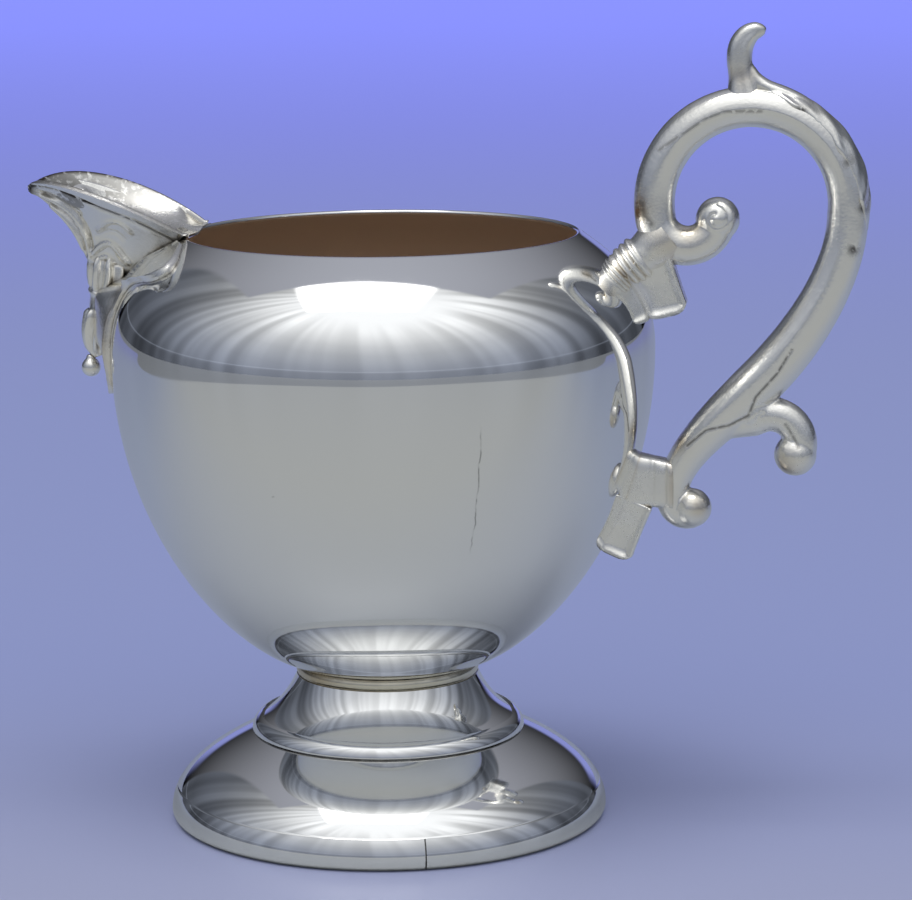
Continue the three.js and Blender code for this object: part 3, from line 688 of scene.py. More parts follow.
def tarnish_group():
    """Dark growth in hollows and where a piece is worn, with a yellow bloom around it; the painted values
    also hold painted shade on the lip's upward faces, which comes out in the same dark colour.
    """
    def fill(net, given):
        where = net.place("Object")
        shade = net.add("ShaderNodeAmbientOcclusion", {"Distance": given["Depth"]}, samples=6)
        hollow = net.minus(1.0, shade.outputs["AO"])
        grain = net.noise(where, scale=900.0, detail=4.0, rough=0.6)
        patch = net.noise(where, scale=130.0)
        deep = net.fade(net.times(hollow, net.fade(grain, 0.25, 0.7, 0.65, 1.25)), 0.3, 0.85)
        # Specks where the painted values lie: wear, and painted shade on the lip's upward faces.
        speck = net.times(net.painted("wear_and_shade"), net.fade(grain, 0.34, 0.5))
        dirt_and_shade = net.sum("MAXIMUM", net.times(deep, given["Hollow"]), speck)
        dirt_and_shade = net.sum("MAXIMUM", dirt_and_shade, given["Marks"], clamp=True)
        cloud = net.times(net.fade(hollow, 0.12, 0.6), net.fade(patch, 0.35, 0.7, 0.3, 1.0))
        stain = net.times(net.painted("stained"), net.fade(patch, 0.3, 0.65, 0.35, 1.0))
        bloom = net.plus(net.times(cloud, given["Yellow"]), stain, clamp=True)
        tinted = net.mix(bloom, given["Clean"], given["Bloom"])
        return net.mix(dirt_and_shade, tinted, given["Dark"]), dirt_and_shade
    return group_of("Jug tarnish",
                    {"Clean": (0.9, 0.9, 0.9, 1), "Dark": (0.05, 0.04, 0.03, 1),
                     "Bloom": (0.5, 0.36, 0.17, 1), "Hollow": 0.6, "Yellow": 0.3, "Depth": 0.0012,
                     "Marks": 0.0},
                    {"Color": "NodeSocketColor", "Dirt_and_shade": "NodeSocketFloat"}, fill)


def polish_group():
    """Roughness that varies with smears and fine marks, and a height for the metal's slight unevenness."""
    # Tarnish, wear and the painted shade on the lip all make the metal rougher by this much.
    dirt_and_shade_rough = 0.35

    def fill(net, given):
        where = net.place("Object")
        smear = net.noise(where, scale=38.0, detail=4.0, rough=0.6)
        fine = net.noise(where, scale=given["Grain"], detail=4.0, rough=0.6)
        blend = net.times(net.fade(smear, 0.32, 0.72), net.fade(fine, 0.3, 0.75, 0.4, 1.0))
        spread = net.minus(given["Most"], given["Least"])
        rough = net.plus(given["Least"], net.times(spread, blend))
        return net.plus(rough, net.times(given["Dirt_and_shade"], dirt_and_shade_rough), clamp=True), fine
    return group_of("Jug polish", {"Least": 0.04, "Most": 0.1, "Grain": 400.0, "Dirt_and_shade": 0.0},
                    {"Roughness": "NodeSocketFloat", "Height": "NodeSocketFloat"}, fill)


def scratch_group():
    """A mask for one long scratch down the side of the bowl and a few specks, by place."""
    sway, wide, narrow, taper = 0.035, 0.0042, 0.0012, 0.004

    def fill(net, given):
        where = net.place("Object")
        parts = net.parts(where)
        across = net.minus(parts["X"], given["Axis"])
        around = net.sum("ARCTAN2", across, net.times(parts["Y"], -1.0))
        wander = net.line_noise(parts["Z"], scale=160.0, detail=3.0)
        off = net.minus(net.minus(around, given["Turn"]), net.times(net.minus(wander, 0.5), sway))
        line = net.fade(net.size(off), wide, narrow)
        low, high = given["Low"], given["High"]
        ends = net.times(net.fade(parts["Z"], low, net.plus(low, taper)),
                         net.fade(parts["Z"], high, net.minus(high, taper)))
        broken = net.fade(net.noise(where, scale=420.0), 0.36, 0.56, 0.1, 0.5)
        speck = net.fade(net.noise(where, scale=330.0, detail=2.0), 0.8, 0.84, 0.0, 0.5)
        return [net.sum("MAXIMUM", net.times(net.times(line, ends), broken), speck)]
    return group_of("Jug scratch", {"Turn": 0.5, "Low": 0.05, "High": 0.08, "Axis": 0.0},
                    {"Mask": "NodeSocketFloat"}, fill)


def opaque(rgb):
    return (*rgb, 1.0)


def metal(name, clean, finishes, least, most, grain, bump, hollow, yellow, depth):
    """A plated metal with tarnish and polish of its own; bump and depth are in metres."""
    if name in bpy.data.materials:
        return bpy.data.materials[name]
    material = bpy.data.materials.new(name)
    material.use_nodes = True
    net = Nodes(material.node_tree)
    shader = material.node_tree.nodes["Principled BSDF"]
    shader.inputs["Metallic"].default_value = 1.0
    tarnish = net.add("ShaderNodeGroup", {
        "Clean": opaque(clean), "Dark": opaque(finishes.tarnish), "Bloom": opaque(finishes.stain),
        "Hollow": hollow, "Yellow": yellow, "Depth": depth}, node_tree=tarnish_group())
    polish = net.add("ShaderNodeGroup", {"Least": least, "Most": most, "Grain": grain,
                                         "Dirt_and_shade": tarnish.outputs["Dirt_and_shade"]}, node_tree=polish_group())
    uneven = net.add("ShaderNodeBump", {"Strength": 1.0, "Distance": bump,
                                        "Height": polish.outputs["Height"]})
    net.link(tarnish.outputs["Color"], shader.inputs["Base Color"])
    net.link(polish.outputs["Roughness"], shader.inputs["Roughness"])
    net.link(uneven.outputs["Normal"], shader.inputs["Normal"])
    return material


def polished(name, jug):
    f = jug.finishes
    return metal(name, f.silver, f, least=f.silver_rough, most=2.4 * f.silver_rough, grain=160.0,
                 bump=0.0000012, hollow=0.25, yellow=0.15, depth=0.0016)


def silver_plate(jug):
    return polished("Polished plate", jug)


def bowl_plate(jug):
    """The polished plate with a scratch down the bowl's side."""
    material = polished("Bowl plate", jug)
    net = Nodes(material.node_tree)
    scratch = net.add("ShaderNodeGroup", {"Turn": math.radians(27.5), "Low": 0.054, "High": 0.0785,
                                          "Axis": AXIS_X}, node_tree=scratch_group())
    tarnish = next(n for n in net.tree.nodes if n.type == "GROUP" and n.node_tree == tarnish_group())
    net.link(scratch.outputs["Mask"], tarnish.inputs["Marks"])
    return material


def cast_plate(jug):
    f = jug.finishes
    return metal("Cast plate", f.casting, f, least=f.casting_rough, most=1.7 * f.casting_rough, grain=1900.0,
                 bump=0.00004, hollow=0.85, yellow=0.42, depth=0.0013)


def solder_plate(jug):
    f = jug.finishes
    return metal("Soldered band", f.solder, f, least=0.16, most=0.3, grain=900.0,
                 bump=0.000012, hollow=0.7, yellow=0.5, depth=0.0012)


def gilt_wash(jug):
    f = jug.finishes
    material = metal("Gilt wash", f.gilt, f, least=0.34, most=0.5, grain=220.0,
                     bump=0.000008, hollow=0.1, yellow=0.1, depth=0.002)
    material.node_tree.nodes["Principled BSDF"].inputs["Metallic"].default_value = 0.35
    return material


def trim_plate(jug):
    f = jug.finishes
    return metal("Trim plate", f.casting, f, least=1.3 * f.casting_rough, most=2.0 * f.casting_rough,
                 grain=1900.0, bump=0.00003, hollow=0.12, yellow=0.6, depth=0.0009)


# Pieces


class JugOperator:
    """What the jug's operators share."""
    bl_options = {"REGISTER", "UNDO"}

    def execute(self, context):
        self.make(context.scene.cream_jug)
        return {"FINISHED"}


class CREAMJUG_OT_bowl(JugOperator, bpy.types.Operator):
    """Make the spun bowl, with its gilt inside"""
    bl_idname = "creamjug.bowl"
    bl_label = "Bowl"

    def make(self, jug):
        bowl = BowlShape(jug.bowl)
        outline, normals, wall = bowl.outline, bowl.normals(), bowl.wall
        inside = [p - n * wall for p, n in zip(outline, normals)]
        middle, out = outline[-1] - normals[-1] * (wall / 2), normals[-1]
        along = flat(-out.y, out.x)
        rim = []
        for i in range(1, 8):
            angle = math.pi * i / 8
            rim.append(middle + out * (math.cos(angle) * wall / 2) + along * (math.sin(angle) * wall / 2))
        profile = [flat(0, bowl.low), flat(bowl.base - wall, bowl.low)] + outline + rim + inside[::-1]
        profile.append(flat(0, inside[0].y))
        gilt_from = len(outline) + len(rim)
        form = Form().lathe(profile, finish_at=lambda k: 1 if k >= gilt_from else 0)
        reach = 7.5

        def dipped(p):
            dip = bowl.dip_at(p.x, p.y) if p.x < 0 else 0.0
            rise = ease(bowl.top - reach, bowl.top, p.z)
            return p - spot(0, 0, dip * rise)
        mesh = mesh_of(form.moved(dipped), "bowl")
        plates = [bowl_plate(jug), gilt_wash(jug)]
        add_piece("bowl", mesh, plates, ["body_shell"], crease=40)


class CREAMJUG_OT_foot(JugOperator, bpy.types.Operator):
    """Make the foot: rim band, dome, beaded stem and soldered collar"""
    bl_idname = "creamjug.foot"
    bl_label = "Foot"

    def make(self, jug):
        mm = mm_of(jug.foot)
        radius, band, width, wall = mm("radius"), mm("band_height"), mm("band_width"), mm("wall")
        dome_radius, dome_top = mm("dome_radius"), mm("dome_height")
        rise, widest = dome_top - band, 1.6
        curve = [flat(dome_radius, dome_top),
                 flat(lerp(dome_radius, radius, 0.314), dome_top - 0.233 * rise),
                 flat(radius, widest + 0.707 * rise),
                 flat(radius, widest)]
        line = bezier_line(curve, 90)
        silver = silver_plate(jug)
        inner = radius - width
        groove = bevel = 0.12
        skirt = [p for p in line if p.y < band - groove]
        band_top = flat(bezier(curve, 0.82).x - groove, band)
        profile = [flat(inner, bevel), flat(inner, band), band_top] + skirt
        for i in range(1, 9):
            angle = math.radians(lerp(0, 90, i / 8))
            profile.append(flat(radius - widest + widest * math.cos(angle), widest * (1 - math.sin(angle))))
        profile.append(flat(inner + bevel, 0.0))
        seam, half = math.degrees(jug.foot.seam_turn), math.degrees(mm("seam_width") / 2 / radius)
        form = Form().lathe(profile, closed=True, first=seam + half, last=seam + 360 - half)
        mesh = mesh_of(form, "foot_band")
        add_piece("foot_band", mesh, [silver], ["foot_rim_band"], crease=40)

        outside = [p for p in line if p.y > band + groove / 2]
        outside.append(flat(band_top.x + 0.05, band + 0.02))
        bore, skirt_out = dome_radius - 3 * wall, inner - 0.3
        under = [flat(p.x - 0.6 * wall, p.y - wall) for p in reversed(outside) if p.x < skirt_out - wall]
        profile = [flat(bore, dome_top)] + outside + [
            flat(skirt_out, band), flat(skirt_out, wall), flat(skirt_out - wall, wall),
            flat(skirt_out - wall, band)] + under + [flat(bore, dome_top - wall)]
        form = Form().lathe(profile, closed=True)
        mesh = mesh_of(form, "foot_dome")
        add_piece("foot_dome", mesh, [silver], ["foot_dome"], crease=40)

        stem_top, collar_top = COLLAR_LOW.z / MM, COLLAR_HIGH.z / MM
        stem, swell = mm("stem_radius"), 1.1 * mm("bead_thickness")
        centre = flat(mm("bead_radius") + 0.2, dome_top + 0.1) - on_arc(flat(0, 0), swell, 6)
        roll = [on_arc(centre, swell, lerp(66, 6, t)) for t in shares(24)]
        height = stem_top - dome_top
        flare = bezier_line([flat(stem, stem_top), flat(stem + 1.0, stem_top - 0.22 * height),
                             flat(stem + 2.6, stem_top - 0.54 * height), roll[0] - flat(0.2, 0.3)], 40)
        stand = roll[-1].x
        bore = 12.0
        under = [flat(p.x - wall, p.y - 0.5 * wall) for p in flare[3:-3]]
        inside = [flat(stand, dome_top), flat(stand - 2 * wall, dome_top)] + under[::-1]
        profile = [flat(bore, stem_top)] + flare + roll + inside + [flat(bore, stem_top - wall)]
        form = Form().lathe(profile, closed=True)
        mesh = mesh_of(form, "foot_stem")
        add_piece("foot_stem", mesh, [silver], ["foot_stem"], crease=50)

        collar, bulge = mm("collar_radius"), 0.32
        profile = [flat(bore, stem_top)] + [
            flat(collar - bulge + bulge * math.sin(math.pi * i / 12), lerp(stem_top, collar_top, i / 12))
            for i in range(13)] + [flat(bore, collar_top)]
        mesh = mesh_of(Form().lathe(profile, closed=True), "neck_collar")
        paint(mesh, "stained", lambda p: 0.75 * mound(p.x + 13, 6.0) if p.y < 6 else 0.15)
        add_piece("neck_collar", mesh, [solder_plate(jug)], ["neck_collar"], crease=50)


class SpoutShape:
    """The pouring lip's edge, keel and trough."""

    def __init__(self, sizes, bowl):
        mm = mm_of(sizes)
        self.mm = mm
        self.bowl = bowl
        self.heel = spot(-mm("heel_reach"), 0, mm("heel_height"))
        self.tip = spot(-mm("tip_reach"), 0, mm("tip_height"))
        self.length = mm("tip_reach") - bowl.mouth
        self.corner_turn = sizes.corner_turn

    def pull(self, x, y, z):
        return spot(x, y, z) * self.length

    def edge(self, side, t, inset):
        bowl, thick = self.bowl, self.mm("edge")
        corner = spot(-bowl.mouth * math.cos(self.corner_turn), bowl.mouth * math.sin(self.corner_turn),
                      bowl.top + thick / 2)
        tip = self.tip + spot(0, self.mm("tip_half_width"), 0)
        place = bezier([tip, tip + self.pull(0.152, 0.406, 0.13), corner + self.pull(-0.391, 0.185, 0.243),
                        corner], t)
        place.x += inset * (1 - t)
        place.y = side * (place.y - inset * lerp(0.7, 1, t))
        return place

    def keel(self, t):
        front = 0.6
        inner = spot(-self.bowl.at(self.heel.z)[0], 0, self.heel.z - 2.9)
        if t < front:
            return bezier([self.tip - spot(0, 0, self.mm("edge")), self.tip + self.pull(0.156, 0, -0.09),
                           self.heel + self.pull(-0.058, 0, 0.174), self.heel], t / front)
        return self.heel.lerp(inner, (t - front) / (1 - front))

    def floor(self, t):
        bowl, thick = self.bowl, self.mm("edge")
        return bezier([self.tip + spot(thick, 0, -0.35 * thick), self.tip + self.pull(0.254, 0, -0.109),
                       spot(-bowl.mouth - 0.29 * self.length, 0, bowl.top - thick / 2),
                       spot(-bowl.mouth, 0, bowl.top - bowl.dip + 0.3)], t)

    def cheek(self, side, t, rise):
        """The outside between keel and edge, hollowed a little between them."""
        keel = self.keel(t)
        keel.y = side * min(1.6, 1.8 * (0.6 + 2 * t))
        edge = self.edge(side, t, 0.0)
        place = keel.lerp(edge, rise)
        sag = 1.1 * math.sin(math.pi * rise) * ease(0.05, 0.4, t) * (1 - ease(0.75, 1.0, t))
        return place + spot(0.35 * sag, -side * sag, 0.2 * sag)


# Relief on the lip's cheek: places as (share from tip to bowl, rise from keel to edge), then width and
# height in millimetres
CHEEK_RIDGES = [
    ([(0.04, 0.3), (0.25, 0.4), (0.4, 0.38), (0.52, 0.25), (0.59, 0.1)], 0.6, 0.75),
    ([(0.2, 0.06), (0.36, 0.1), (0.5, 0.05)], 0.5, 0.5),
    ([(0.6, 0.5), (0.64, 0.66), (0.69, 0.73), (0.73, 0.72), (0.77, 0.66)], 0.38, 0.5),
    ([(0.61, 0.2), (0.65, 0.34), (0.69, 0.38), (0.74, 0.33), (0.78, 0.27), (0.83, 0.22)], 0.5, 0.75),
    ([(0.63, 0.08), (0.69, 0.18), (0.74, 0.14)], 0.42, 0.6),
]
CHEEK_CUTS = [
    ([(0.16, 0.5), (0.32, 0.55), (0.43, 0.48), (0.52, 0.35), (0.58, 0.2)], 0.42, 0.6),
    ([(0.36, 0.68), (0.41, 0.62), (0.45, 0.54)], 0.5, 0.5),
    ([(0.1, 0.16), (0.3, 0.23), (0.45, 0.2), (0.56, 0.08)], 0.36, 0.55),
    ([(0.6, 0.4), (0.65, 0.52), (0.7, 0.56), (0.75, 0.5)], 0.4, 0.3),
]


class CREAMJUG_OT_spout(JugOperator, bpy.types.Operator):
    """Make the cast pouring lip, its apron, husk and bead"""
    bl_idname = "creamjug.spout"
    bl_label = "Pouring lip"

    def make(self, jug):
        self.cast = cast_plate(jug)
        bowl = BowlShape(jug.bowl)
        spout = SpoutShape(jug.spout, bowl)
        self.lip(spout, bowl)
        self.apron(spout, bowl)
        self.husk(spout, bowl)

    def lip(self, spout, bowl):
        rows, half = 96, 44
        thick = spout.mm("edge")
        crown, stops = 0.34, (0.12, 0.3, 0.5, 0.7, 0.88)
        relief = []
        for lines, sign in ((CHEEK_RIDGES, 1), (CHEEK_CUTS, -1)):
            for points, width, height in lines:
                for side in (-1, 1):
                    relief.append((side, [spout.cheek(side, t, v) for t, v in smooth_line(points, 24)],
                                   width, sign * height))

        def carved(side, t, rise):
            place = spout.cheek(side, t, rise)
            push = 0.0
            for which, line, width, height in relief:
                if which == side:
                    push += height * mound(off_line(place, line), width)
            brim = ease(0.06, 0.2, t) * (1 - ease(0.93, 1.0, t))
            push += brim * (0.35 * ease(0.86, 0.9, rise) - 0.3 * mound(rise - 0.84, 0.03))
            out = spot(-0.25, side * 0.9, -0.35).normalized()
            return place + out * (push * ease(0, 0.05, t))

        rings = []
        for t in shares(rows):
            outer = [carved(-1, t, 1 - k / half) for k in range(half)]
            outer += [carved(1, t, k / half) for k in range(half + 1)]
            lips = []
            for side in (1, -1):
                a, b = spout.edge(side, t, 0.0), spout.edge(side, t, thick)
                arc = [a.lerp(b, s) + spot(0, 0, crown * math.sin(math.pi * s)) for s in stops]
                lips.append(arc if side == 1 else arc[::-1])
            floor = spout.floor(t)
            hollow = 2.3 + 1.3 * ease(0.15, 0.4, t) * (1 - ease(0.7, 0.92, t))
            meet = ease(0.84, 1.0, t)
            inner = []
            for k in range(2 * half + 1):
                v = k / half - 1
                side = 1 if v < 0 else -1
                rise = abs(v)
                edge = spout.edge(side, t, thick)
                place = spot(lerp(floor.x, edge.x, rise), lerp(0.0, edge.y, rise),
                             lerp(floor.z, edge.z, rise ** hollow))
                place.z = lerp(place.z, bowl.top - bowl.dip_at(place.x, place.y) + 0.25, meet)
                inner.append(place)
            rings.append(outer + lips[0] + inner + lips[1])
        lap, cheeks = 0.6, 2 * half + 1
        rings.append([p + spot(lap if k >= cheeks else 0, 0, 0) for k, p in enumerate(rings[-1])])
        centre = bowl.on(180, spout.heel.z + 3.0, -0.6)
        rings += [[p.lerp(centre, s) for p in rings[-1]] for s in (0.1, 0.25, 0.45, 0.65, 0.85)]
        rings = [[bowl.seat(p) for p in ring] for ring in rings]
        form = Form().skin(rings)
        form.points[-1] = centre
        mesh = mesh_of(form, "spout_lip")
        # Dark lines along the groove under the near rim, the near rim's inner edge and the middle of the far
        # rim, and a dark blunt tip, painted into the lip's values.
        brims = [[carved(-1, t, 0.85) for t in shares(30)],
                 [spout.edge(-1, t, 0.9 * thick) for t in shares(30)],
                 [spout.edge(1, t, 0.45 * thick) for t in shares(30)]]

        def wear_and_shade(p):
            lines = max(mound(off_line(p, line), 0.42) for line in brims)
            return 0.95 * lines + mound(p.x - spout.tip.x, 1.5)

        # Painted shade: the lip's upward faces, most towards the tip, get dark specks in the tarnish colour
        # and more roughness.
        def top_shade(p):
            return lerp(0.62, 0.2, ease(-54, -38, p.x))
        paint(mesh, "wear_and_shade", wear_and_shade, top_shade)
        paint(mesh, "stained", lambda p: 0.35 * mound((p - spot(-36, -9, 101)).length, 4.0))
        add_piece("spout_lip", mesh, [self.cast], ["spout_lip"], crease=60)

    def apron(self, spout, bowl):
        drop, thick = spout.mm("apron_drop"), spout.mm("apron_thickness")
        top = bowl.top - 0.6
        side_turn = 12.0
        edge = smooth_line([(0, 0.34), (0.02, 0.62), (0.06, 0.8), (0.14, 0.9), (0.3, 0.98), (0.5, 1.0),
                            (0.66, 1.06), (0.73, 1.3), (0.775, 1.9), (0.8, 2.45), (0.84, 2.8), (0.88, 2.92),
                            (0.93, 2.75), (0.97, 2.4), (1.0, 2.05)], 90)
        columns, stops = 120, 40
        bead_line = smooth_line([(0, 10.4), (0.3, 11.1), (0.5, 11.3), (0.62, 11.8), (0.74, 13.2),
                                 (0.85, 15.6), (1.0, 19.2)], stops)

        def bead_turn(rise):
            place = min(int(rise * stops), stops - 1)
            a, b = bead_line[place], bead_line[place + 1]
            return lerp(a.y, b.y, min(max((rise - a.x) / (b.x - a.x), 0.0), 1.0))

        panel_turn, hub_turn, flutes = 10.5, 17, 9
        web_reach = -spout.heel.x - 1.8
        husk_end = spout.heel.z - spout.mm("husk_length")

        def lift(rise, across, degrees):
            """Height over the bowl: a panel inside a bead, and a fluted shell outside it at the mouth."""
            per_degree = math.radians(1) * bowl.belly
            off_bead = (abs(degrees) - bead_turn(rise)) * per_degree
            height = top - drop + rise * drop
            stand = min(max(web_reach - bowl.at(height)[0], 0.0), 4.0)
            stand *= 1 - ease(spout.heel.z - 7, spout.heel.z - 2, height)
            stand *= ease(husk_end - 0.5, husk_end + 4, height)
            inside = 1 - min(abs(degrees) / panel_turn, 1.0) ** 1.7
            panel = 0.75 + 0.55 * inside + stand * inside
            around = math.atan2((1 - rise) * drop + 1.0, (abs(degrees) - hub_turn) * per_degree)
            shell = 1.05 + 0.09 * math.cos(flutes * around) + 0.35 * mound(1 - abs(across), 0.12)
            height = lerp(panel, shell, ease(-0.3, 0.7, off_bead)) + 0.75 * mound(off_bead, 0.6)
            height *= lerp(0.35, 1, ease(0, 0.07, 1 - abs(across)))
            return 0.1 + height * lerp(1, 0.4, ease(0.84, 1.0, rise) * ease(6, 9, abs(degrees)))

        inner, outer = [], []
        for rise, reach in edge:
            height = top - drop + min(max(rise, 0.0), 1.0) * drop
            low, high = [], []
            for step in shares(columns):
                across = step * 2 - 1
                angle = 180 + reach * side_turn * across
                low.append(bowl.on(angle, height, 0.03))
                high.append(bowl.on(angle, height, lift(rise, across, angle - 180)))
            inner.append(low)
            outer.append(high)
        mesh = mesh_of(Form().plate(inner, outer), "spout_apron")
        strap = [bowl.on(180 + 11, h, thick) for h in (78, 84, 90, 95)]

        def stained(p):
            web = 0.42 * mound(p.y, 4.5) * ease(77, 81, p.z) * (1 - ease(93, 97, p.z))
            return max(web, 0.6 * mound(off_line(p, strap), 1.6) if p.y < 0 else 0.1)
        paint(mesh, "stained", stained)
        spots = [bowl.on(191.5, 86.5, thick), bowl.on(191.5, 90.5, thick)]
        paint(mesh, "wear_and_shade", lambda p: 0.55 * max(mound((p - s).length, 0.8) for s in spots))
        add_piece("spout_apron", mesh, [self.cast], ["spout_apron"], crease=60)

    def husk(self, spout, bowl):
        radius, tall = spout.mm("husk_radius"), spout.mm("husk_length")
        heel = spout.heel
        front_lift = 0.3 + spout.mm("apron_thickness") + 0.6
        stops = 76
        widths = smooth_line([(-0.24, 0.5), (-0.14, 0.9), (0.0, 1.14), (0.14, 1.14), (0.26, 1.04),
                              (0.35, 0.9), (0.41, 0.84), (0.47, 0.98), (0.6, 1.1), (0.76, 0.98),
                              (0.9, 0.66), (1.0, 0.3)], stops)
        stations = []
        for t, width in widths:
            height = heel.z - t * tall
            thick = width * radius
            near = max(t, 0.0)
            front = lerp(heel.x - 0.3, bowl.on(180, height, front_lift).x - 1.35 * thick, near * near)
            front += 6.0 * max(-t, 0.0)
            stations.append((spot(front + thick, 0, height), thick))

        pod_ribs, cup_ribs = 8, 9

        def ribbed(angle, along):
            t = widths[round(along * stops)].x
            pod = ease(0.43, 0.52, t) * (1 - ease(0.9, 1.0, t))
            cup = 1 - ease(0.24, 0.36, t)
            ring = 0.14 * mound(t - 0.335, 0.022) + 0.12 * mound(t - 0.44, 0.02)
            ribs = 0.95 + ring + 0.17 * pod * math.cos(pod_ribs * angle)
            return ribs + 0.14 * cup * math.cos(cup_ribs * angle + 4 * t)
        form = Form().bar(stations, sideways, sides=64, shape=ribbed)
        mesh = mesh_of(form, "spout_husk")
        add_piece("spout_husk", mesh, [self.cast], ["spout_husk"], crease=70)

        ball = spout.mm("bead_radius")
        height = heel.z - tall - 0.3 - ball
        seat = bowl.on(180, height, front_lift)
        form = Form().ball(spot(seat.x - 0.2 - ball, 0, height), ball, sides=32)
        form.bar([(spot(seat.x - 0.2 - ball, 0, height + s * ball), ball * w)
                  for s, w in ((0.5, 0.7), (0.95, 0.5), (1.3, 0.42))], sideways, sides=24)
        mesh = fused(form, "spout_bead", voxel=0.16, rounds=4)
        add_piece("spout_bead", mesh, [self.cast], ["spout_bead"])


class CREAMJUG_OT_handle(JugOperator, bpy.types.Operator):
    """Make the cast scroll handle with its branch"""
    bl_idname = "creamjug.handle"
    bl_label = "Scroll handle"

    def make(self, jug):
        handle = HandleShape(jug.handle)
        mm = handle.mm

        def ridged(angle, along):
            lean = math.radians(22) * ease(0.5, 0.75, along)
            near = min(abs(abs(math.degrees(angle) - 180) - 90 + math.degrees(lean)), 90)
            return 1 + 0.07 * mound(near, 16) * ease(0.16, 0.3, along) * (1 - ease(0.9, 0.97, along))
        form = Form().bar(handle.stations(), sideways, shape=ridged)
        form.ball(in_plane(handle.knob), 1.05 * mm("volute_knob"))
        form.ball(in_plane(handle.toe_ball), mm("toe_knob"))
        below_waist = flat(1.0, -11.8)
        centre = handle.waist + below_waist
        bar, branch, branch_end = mm("branch_bar"), mm("branch_radius"), -22

        def curl(degrees):
            return in_plane(on_arc(centre, branch, degrees))
        sheath = smooth_line([(70.6, 84.6, 0.12), (68.6, 80.8, 0.5), (66.3, 77.6, 0.78), (64.6, 74.8, 0.92),
                              (64.9, 72.6, 0.98)], 18)
        stations = [(spot(x, 0, z), bar * w * 1.25) for x, z, w in sheath]
        stations += [(curl(lerp(112, branch_end, t)), bar * lerp(1.02, 0.94, t)) for t in shares(22)]
        form.bar(stations, sideways)
        start = in_plane(centre + flat(-1.5, 0.6) * branch)
        form.bar([(start, 0.8 * bar), (curl(125), bar), (curl(100), bar)], sideways)
        form.ball(in_plane(on_arc(centre, 0.89 * branch, branch_end)), mm("branch_knob"))
        mesh = fused(form, "handle_scroll", voxel=0.25, rounds=5)
        knob = in_plane(handle.knob)
        cracks = [
            ([(71.2, 84.4), (68.8, 80.3), (65.1, 76.1), (63.9, 72.8)], 0.24, 0.75),
            ([(63.9, 72.8), (60.7, 71.1), (56.6, 70.2), (53.3, 67.3)], 0.24, 0.75),
            ([(70.2, 71.2), (71.3, 69.5), (72.5, 67.1)], 0.26, 0.55),
            ([(48.4, 118.6), (52.8, 121.6), (56.4, 124.0), (59.6, 125.2), (65.7, 125.2)], 0.3, 0.5),
            ([(45.5, 109.6), (45.9, 107.2), (47.1, 105.9)], 0.5, 0.6),
        ]
        lines = [([spot(x, 0, z) for x, z in points], width, amount) for points, width, amount in cracks]
        crack_depth, knob_swell, groove_depth, cast_grain = 0.14, 0.22, 0.36, 0.018

        def cut(p, _):
            push = 0.0
            if abs(p.y) > 0.8:
                here = spot(p.x, 0, p.z)
                push -= crack_depth * max(mound(off_line(here, line), w) for line, w, _ in lines[:3])
            if abs(p.y) > 1.0:
                right, over = p.x - knob.x + 0.1, p.z - knob.z - 0.5
                away = math.hypot(right, over)
                groove = lerp(0.75, 2.5, (math.atan2(over, right) / (2 * math.pi) + 0.75) % 1.0)
                push += (knob_swell * mound(away, 0.7)
                         - groove_depth * mound(away - groove, 0.36) * mound(away, 2.6))
            push += cast_grain * (noise.noise(p * 0.5) + 0.6 * noise.noise(p * 1.7))
            return push
        sculpt(mesh, cut)
        pits = [((83.2, 108.7), 1.0), ((81.5, 101.6), 0.9), ((80.5, 116.6), 0.7)]

        def wear_and_shade(p):
            if abs(p.y) < 0.8:
                return 0.0
            here = spot(p.x, 0, p.z)
            amount = max(a * mound(off_line(here, line), w) for line, w, a in lines)
            for (x, z), a in pits:
                amount = max(amount, a * mound(math.hypot(p.x - x, p.z - z), 0.9))
            return amount
        paint(mesh, "wear_and_shade", wear_and_shade)
        bloom = [(spot(45.8, -2, 108), 2.2), (spot(53.5, -2, 104.6), 2.4), (spot(51.5, -2, 68), 2.0),
                 (spot(55.5, -2.5, 57), 2.2), (spot(70, -2, 64), 2.5)]
        paint(mesh, "stained", lambda p: 0.6 * max(mound((p - c).length, w) for c, w in bloom))
        add_piece("handle_scroll", mesh, [cast_plate(jug)], ["handle_scroll", "handle_branch"])


